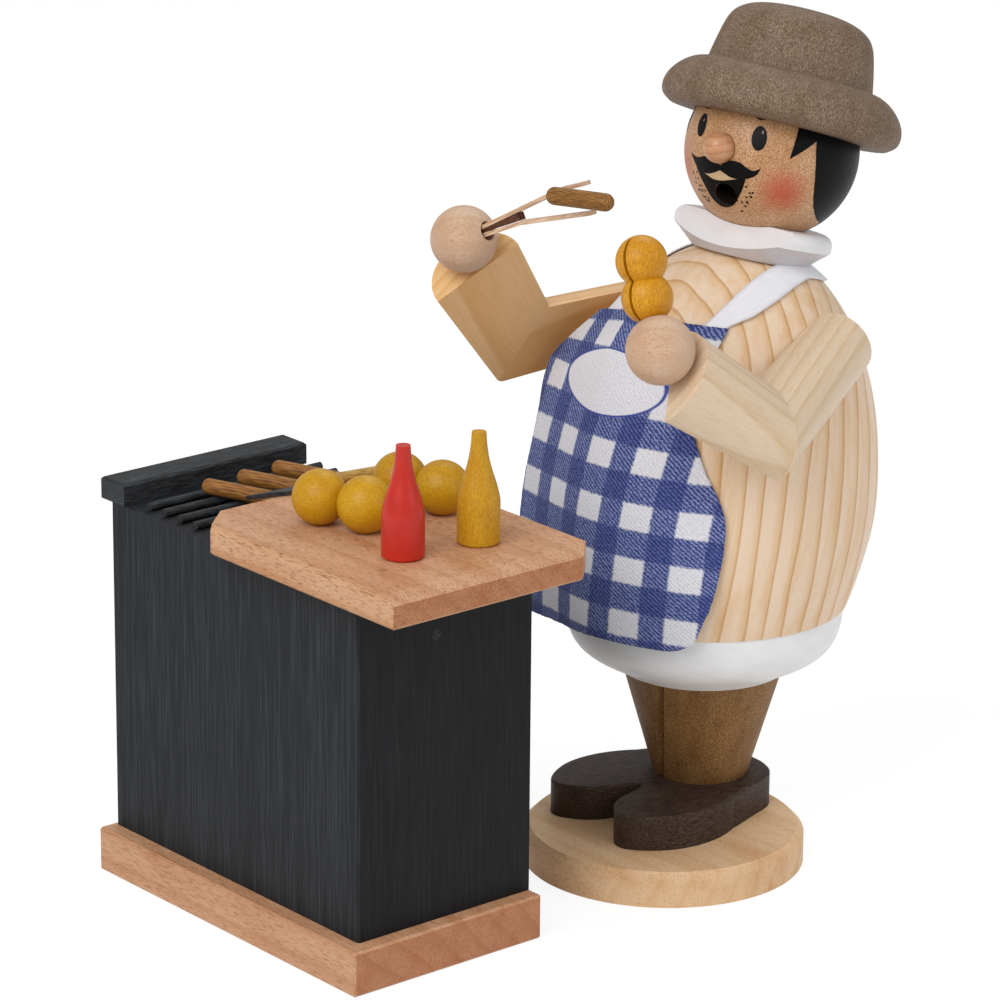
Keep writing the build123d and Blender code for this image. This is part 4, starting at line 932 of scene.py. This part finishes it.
def cloth_place(across, level):
    """Where a place of the flat cloth lies on the figure."""
    hang = max(BELLY_RADIUS - body_radius(level), 0) * HEM_HANG if level < BELLY_LEVEL else 0
    radius = body_radius(level) + hang
    swing = SWING * sin(across * SWING_WAVE + SWING_PHASE) * (1 - share_between(level, *SWING_LEVELS)) ** 2
    start = radians(FREE_FROM) * radius
    angle = max(across / radius, radians(FREE_FROM))
    outward = sin(angle) * ACROSS + cos(angle) * BODY_FRONT
    sideways = cos(angle) * ACROSS - sin(angle) * BODY_FRONT
    free = max(start - across, 0)
    sag = CORNER_SAG * free * share_between(level, *SAG_LEVELS)
    spot = (radius + CLOTH_STAND + swing) * outward - free * sideways
    return BODY_FOOT + (spot + (level - sag) * BODY_AXIS) * MM


def make_cloth(piece, flat_places, thickness):
    """Store every point's place on the flat cloth, in mm, and thicken the cloth."""
    stored = piece.data.attributes.new("cloth_mm", "FLOAT_VECTOR", "POINT")
    stored.data.foreach_set("vector", [value for place in flat_places for value in place])
    solid = piece.modifiers.new("thickness", "SOLIDIFY")
    solid.thickness = thickness * MM
    solid.offset = 0


def apron_cloth(columns=96, rows=120):
    """Patch between the four edges, laid on the body, and its flat area."""
    top, foot = along(apron_top, columns), along(apron_foot[::-1], columns)
    right_edge, left_edge = along(apron_right, rows), along(apron_left[::-1], rows)
    shake = random.Random(3)
    flat = []
    for row in range(rows + 1):
        v = row / rows
        for column in range(columns + 1):
            u = column / columns
            ruled = foot[column].lerp(top[column], v) + right_edge[row].lerp(left_edge[row], u)
            corners = foot[0].lerp(foot[-1], u).lerp(top[0].lerp(top[-1], u), v)
            frayed = FRAY if row in (0, rows) or column in (0, columns) else 0
            shift = Vector((shake.uniform(-frayed, frayed), shake.uniform(-frayed, frayed)))
            flat.append(ruled - corners + shift)
    faces = grid_faces(rows, columns)
    piece = build_piece("apron_cloth", [cloth_place(*spot) for spot in flat], faces, gingham())
    make_cloth(piece, [spot.to_3d() for spot in flat], CLOTH_THICK)
    area = sum((flat[f[1]] - flat[f[0]]).cross(flat[f[3]] - flat[f[0]]) for f in faces)
    return piece, area


apron, apron_area = apron_cloth()
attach(apron, "upper")
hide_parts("apron")
print("apron area", round(apron_area), "square mm")

# %% [markdown]
# ## The ribbon
# A white satin ribbon holds the bib and goes round the neck on the shoulders. It lies on the
# dome as a strip between two lines, each given as a level for each angle round the body. Its
# outer edge lifts in places, and on the figure's right it leaves the dome and runs to the
# apron's free corner.

# %% Ribbon
RIBBON_STAND = 0.55
RIBBON_THICK = 0.35
RIBBON_WIDE = 6
RIBBON_STEP = 0.9
LIFT = 0.35
LIFT_WAVE = 0.21
LIFT_START = 1
CORNER_RUN = 16
CORNER_ACROSS = (-12.8, -19.6)
CORNER_LEVEL = 65
UNDER_APRON = 0.7 * MM
inner_levels = [(28.6, 65), (33.7, 68.4), (42.5, 72.8), (48.1, 74.8), (55.2, 76.6), (65.5, 78.1),
                (77.4, 79.1), (91.1, 79.6), (130, 80.2), (180, 80)]
outer_levels = [(37.4, 62.6), (41.2, 66.4), (47.4, 68.1), (54, 69.4), (60.2, 71), (67.6, 72.6),
                (78.6, 74.5), (92.3, 76), (113.4, 76.6), (145.4, 74.8), (180, 73.8)]
corner_end = [cloth_place(across, CORNER_LEVEL) - UNDER_APRON * BODY_FRONT for across in CORNER_ACROSS]


def ribbon_cloth():
    material, tree = new_tree("white_satin_ribbon")
    flat = add_node(tree, "Attribute", attribute_name="cloth_mm", out="Vector")
    drawn = add_node(tree, "VectorMath", {0: flat, 1: (0.2, 3, 0)}, operation="MULTIPLY")
    threads = add_node(tree, "TexNoise", {"Vector": drawn, "Scale": 1, "Detail": 2}, out="Fac")
    tone = lay_tint(tree, paint("#eeeef2"), threads, 0.3, 0.8, "#f6f6fa")
    return finish_surface(material, tree, tone, 0.5, threads, 0.006, sheen=0.15)


def ribbon(count=90, across=6):
    inner, outer = along(inner_levels, count), along(outer_levels, count)
    left = list(zip(inner, outer))
    right_half = [(Vector((-a.x, a.y)), Vector((-b.x, b.y))) for a, b in reversed(left[:-1])]
    places, flat = [], []
    for number, (near, far) in enumerate(left + right_half):
        t = max(number - 2 * count + CORNER_RUN, 0) / CORNER_RUN
        for step in range(across + 1):
            share = step / across
            lift = max(LIFT * sin(number * LIFT_WAVE - LIFT_START), 0) * share ** 2
            on_dome = on_body(*near.lerp(far, share), RIBBON_STAND + lift)
            places.append(on_dome.lerp(corner_end[0].lerp(corner_end[1], share), t * t * (3 - 2 * t)))
            flat.append((number * RIBBON_STEP, share * RIBBON_WIDE, 0))
    faces = [face[::-1] for face in grid_faces(2 * count, across)]
    piece = build_piece("neck_ribbon", places, faces, ribbon_cloth())
    make_cloth(piece, flat, RIBBON_THICK)
    return piece


neck_ribbon = ribbon()
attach(neck_ribbon, "upper")
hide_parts("apron_strap")
print("ribbon about", RIBBON_WIDE, "mm wide")

# %% [markdown]
# ## Floor, backdrop and light
# The floor glows white for rays from the camera and from glossy surfaces, and the air is
# white for the camera, so the pale ground adds little light to the wood. The floor keeps a
# soft shadow. One large softbox from the camera's left gives the form, and weaker ones from
# the right and from behind open the shadows.

# %% Studio
FLOOR_REACH = 3
AIM = Vector((-0.02, -0.03, 0.09))


def floor_finish():
    material, tree = new_tree("white_studio_floor")
    matt = add_node(tree, "BsdfDiffuse", {"Color": paint("#f4f4f4")})
    glow = add_node(tree, "Emission", {"Color": (1, 1, 1, 1), "Strength": 1.09})
    from_camera = add_node(tree, "LightPath", out="Is Camera Ray")
    from_gloss = add_node(tree, "LightPath", out="Is Glossy Ray")
    seen = add_node(tree, "Math", {0: from_camera, 1: from_gloss}, operation="MAXIMUM")
    share = add_node(tree, "Math", {0: seen, 1: 0.8}, operation="MULTIPLY")
    mixed = add_node(tree, "MixShader", {0: share, 1: matt, 2: glow})
    add_node(tree, "OutputMaterial", {"Surface": mixed})
    return material


corners = [(x * FLOOR_REACH, y * FLOOR_REACH, 0) for x, y in ((-1, -1), (1, -1), (1, 1), (-1, 1))]
floor = build_piece("studio_floor", corners, [(0, 1, 2, 3)], floor_finish())


def softbox(name, azimuth, elevation, distance, size, watts):
    """Square area light that looks at the figure from two angles."""
    toward = direction(azimuth, elevation)
    lamp = bpy.data.lights.new(name, "AREA")
    lamp.size = size
    lamp.energy = watts
    light = bpy.data.objects.new(name, lamp)
    light.location = AIM + distance * toward
    light.rotation_euler = toward.to_track_quat("Z", "Y").to_euler()
    bpy.context.scene.collection.objects.link(light)


softbox("key_light", 15, 42, 1.1, 0.7, 6.9)
softbox("fill_light", 110, 30, 1.3, 0.8, 2.9)
softbox("back_light", 215, 50, 1.3, 0.6, 2.9)

world = bpy.data.worlds.new("studio_air")
bpy.context.scene.world = world
world.use_nodes = True
air = world.node_tree
air.nodes.clear()
from_camera = add_node(air, "LightPath", out="Is Camera Ray")
through_glass = add_node(air, "LightPath", out="Is Transmission Ray")
seen = add_node(air, "Math", {0: from_camera, 1: through_glass}, operation="MAXIMUM")
strength = add_node(air, "MapRange", {0: seen, 3: 0.45, 4: 1})
sky = add_node(air, "Background", {"Color": (1, 1, 1, 1), "Strength": strength})
add_node(air, "OutputWorld", {"Surface": sky})
print("lights:", [item.name for item in bpy.data.lights])
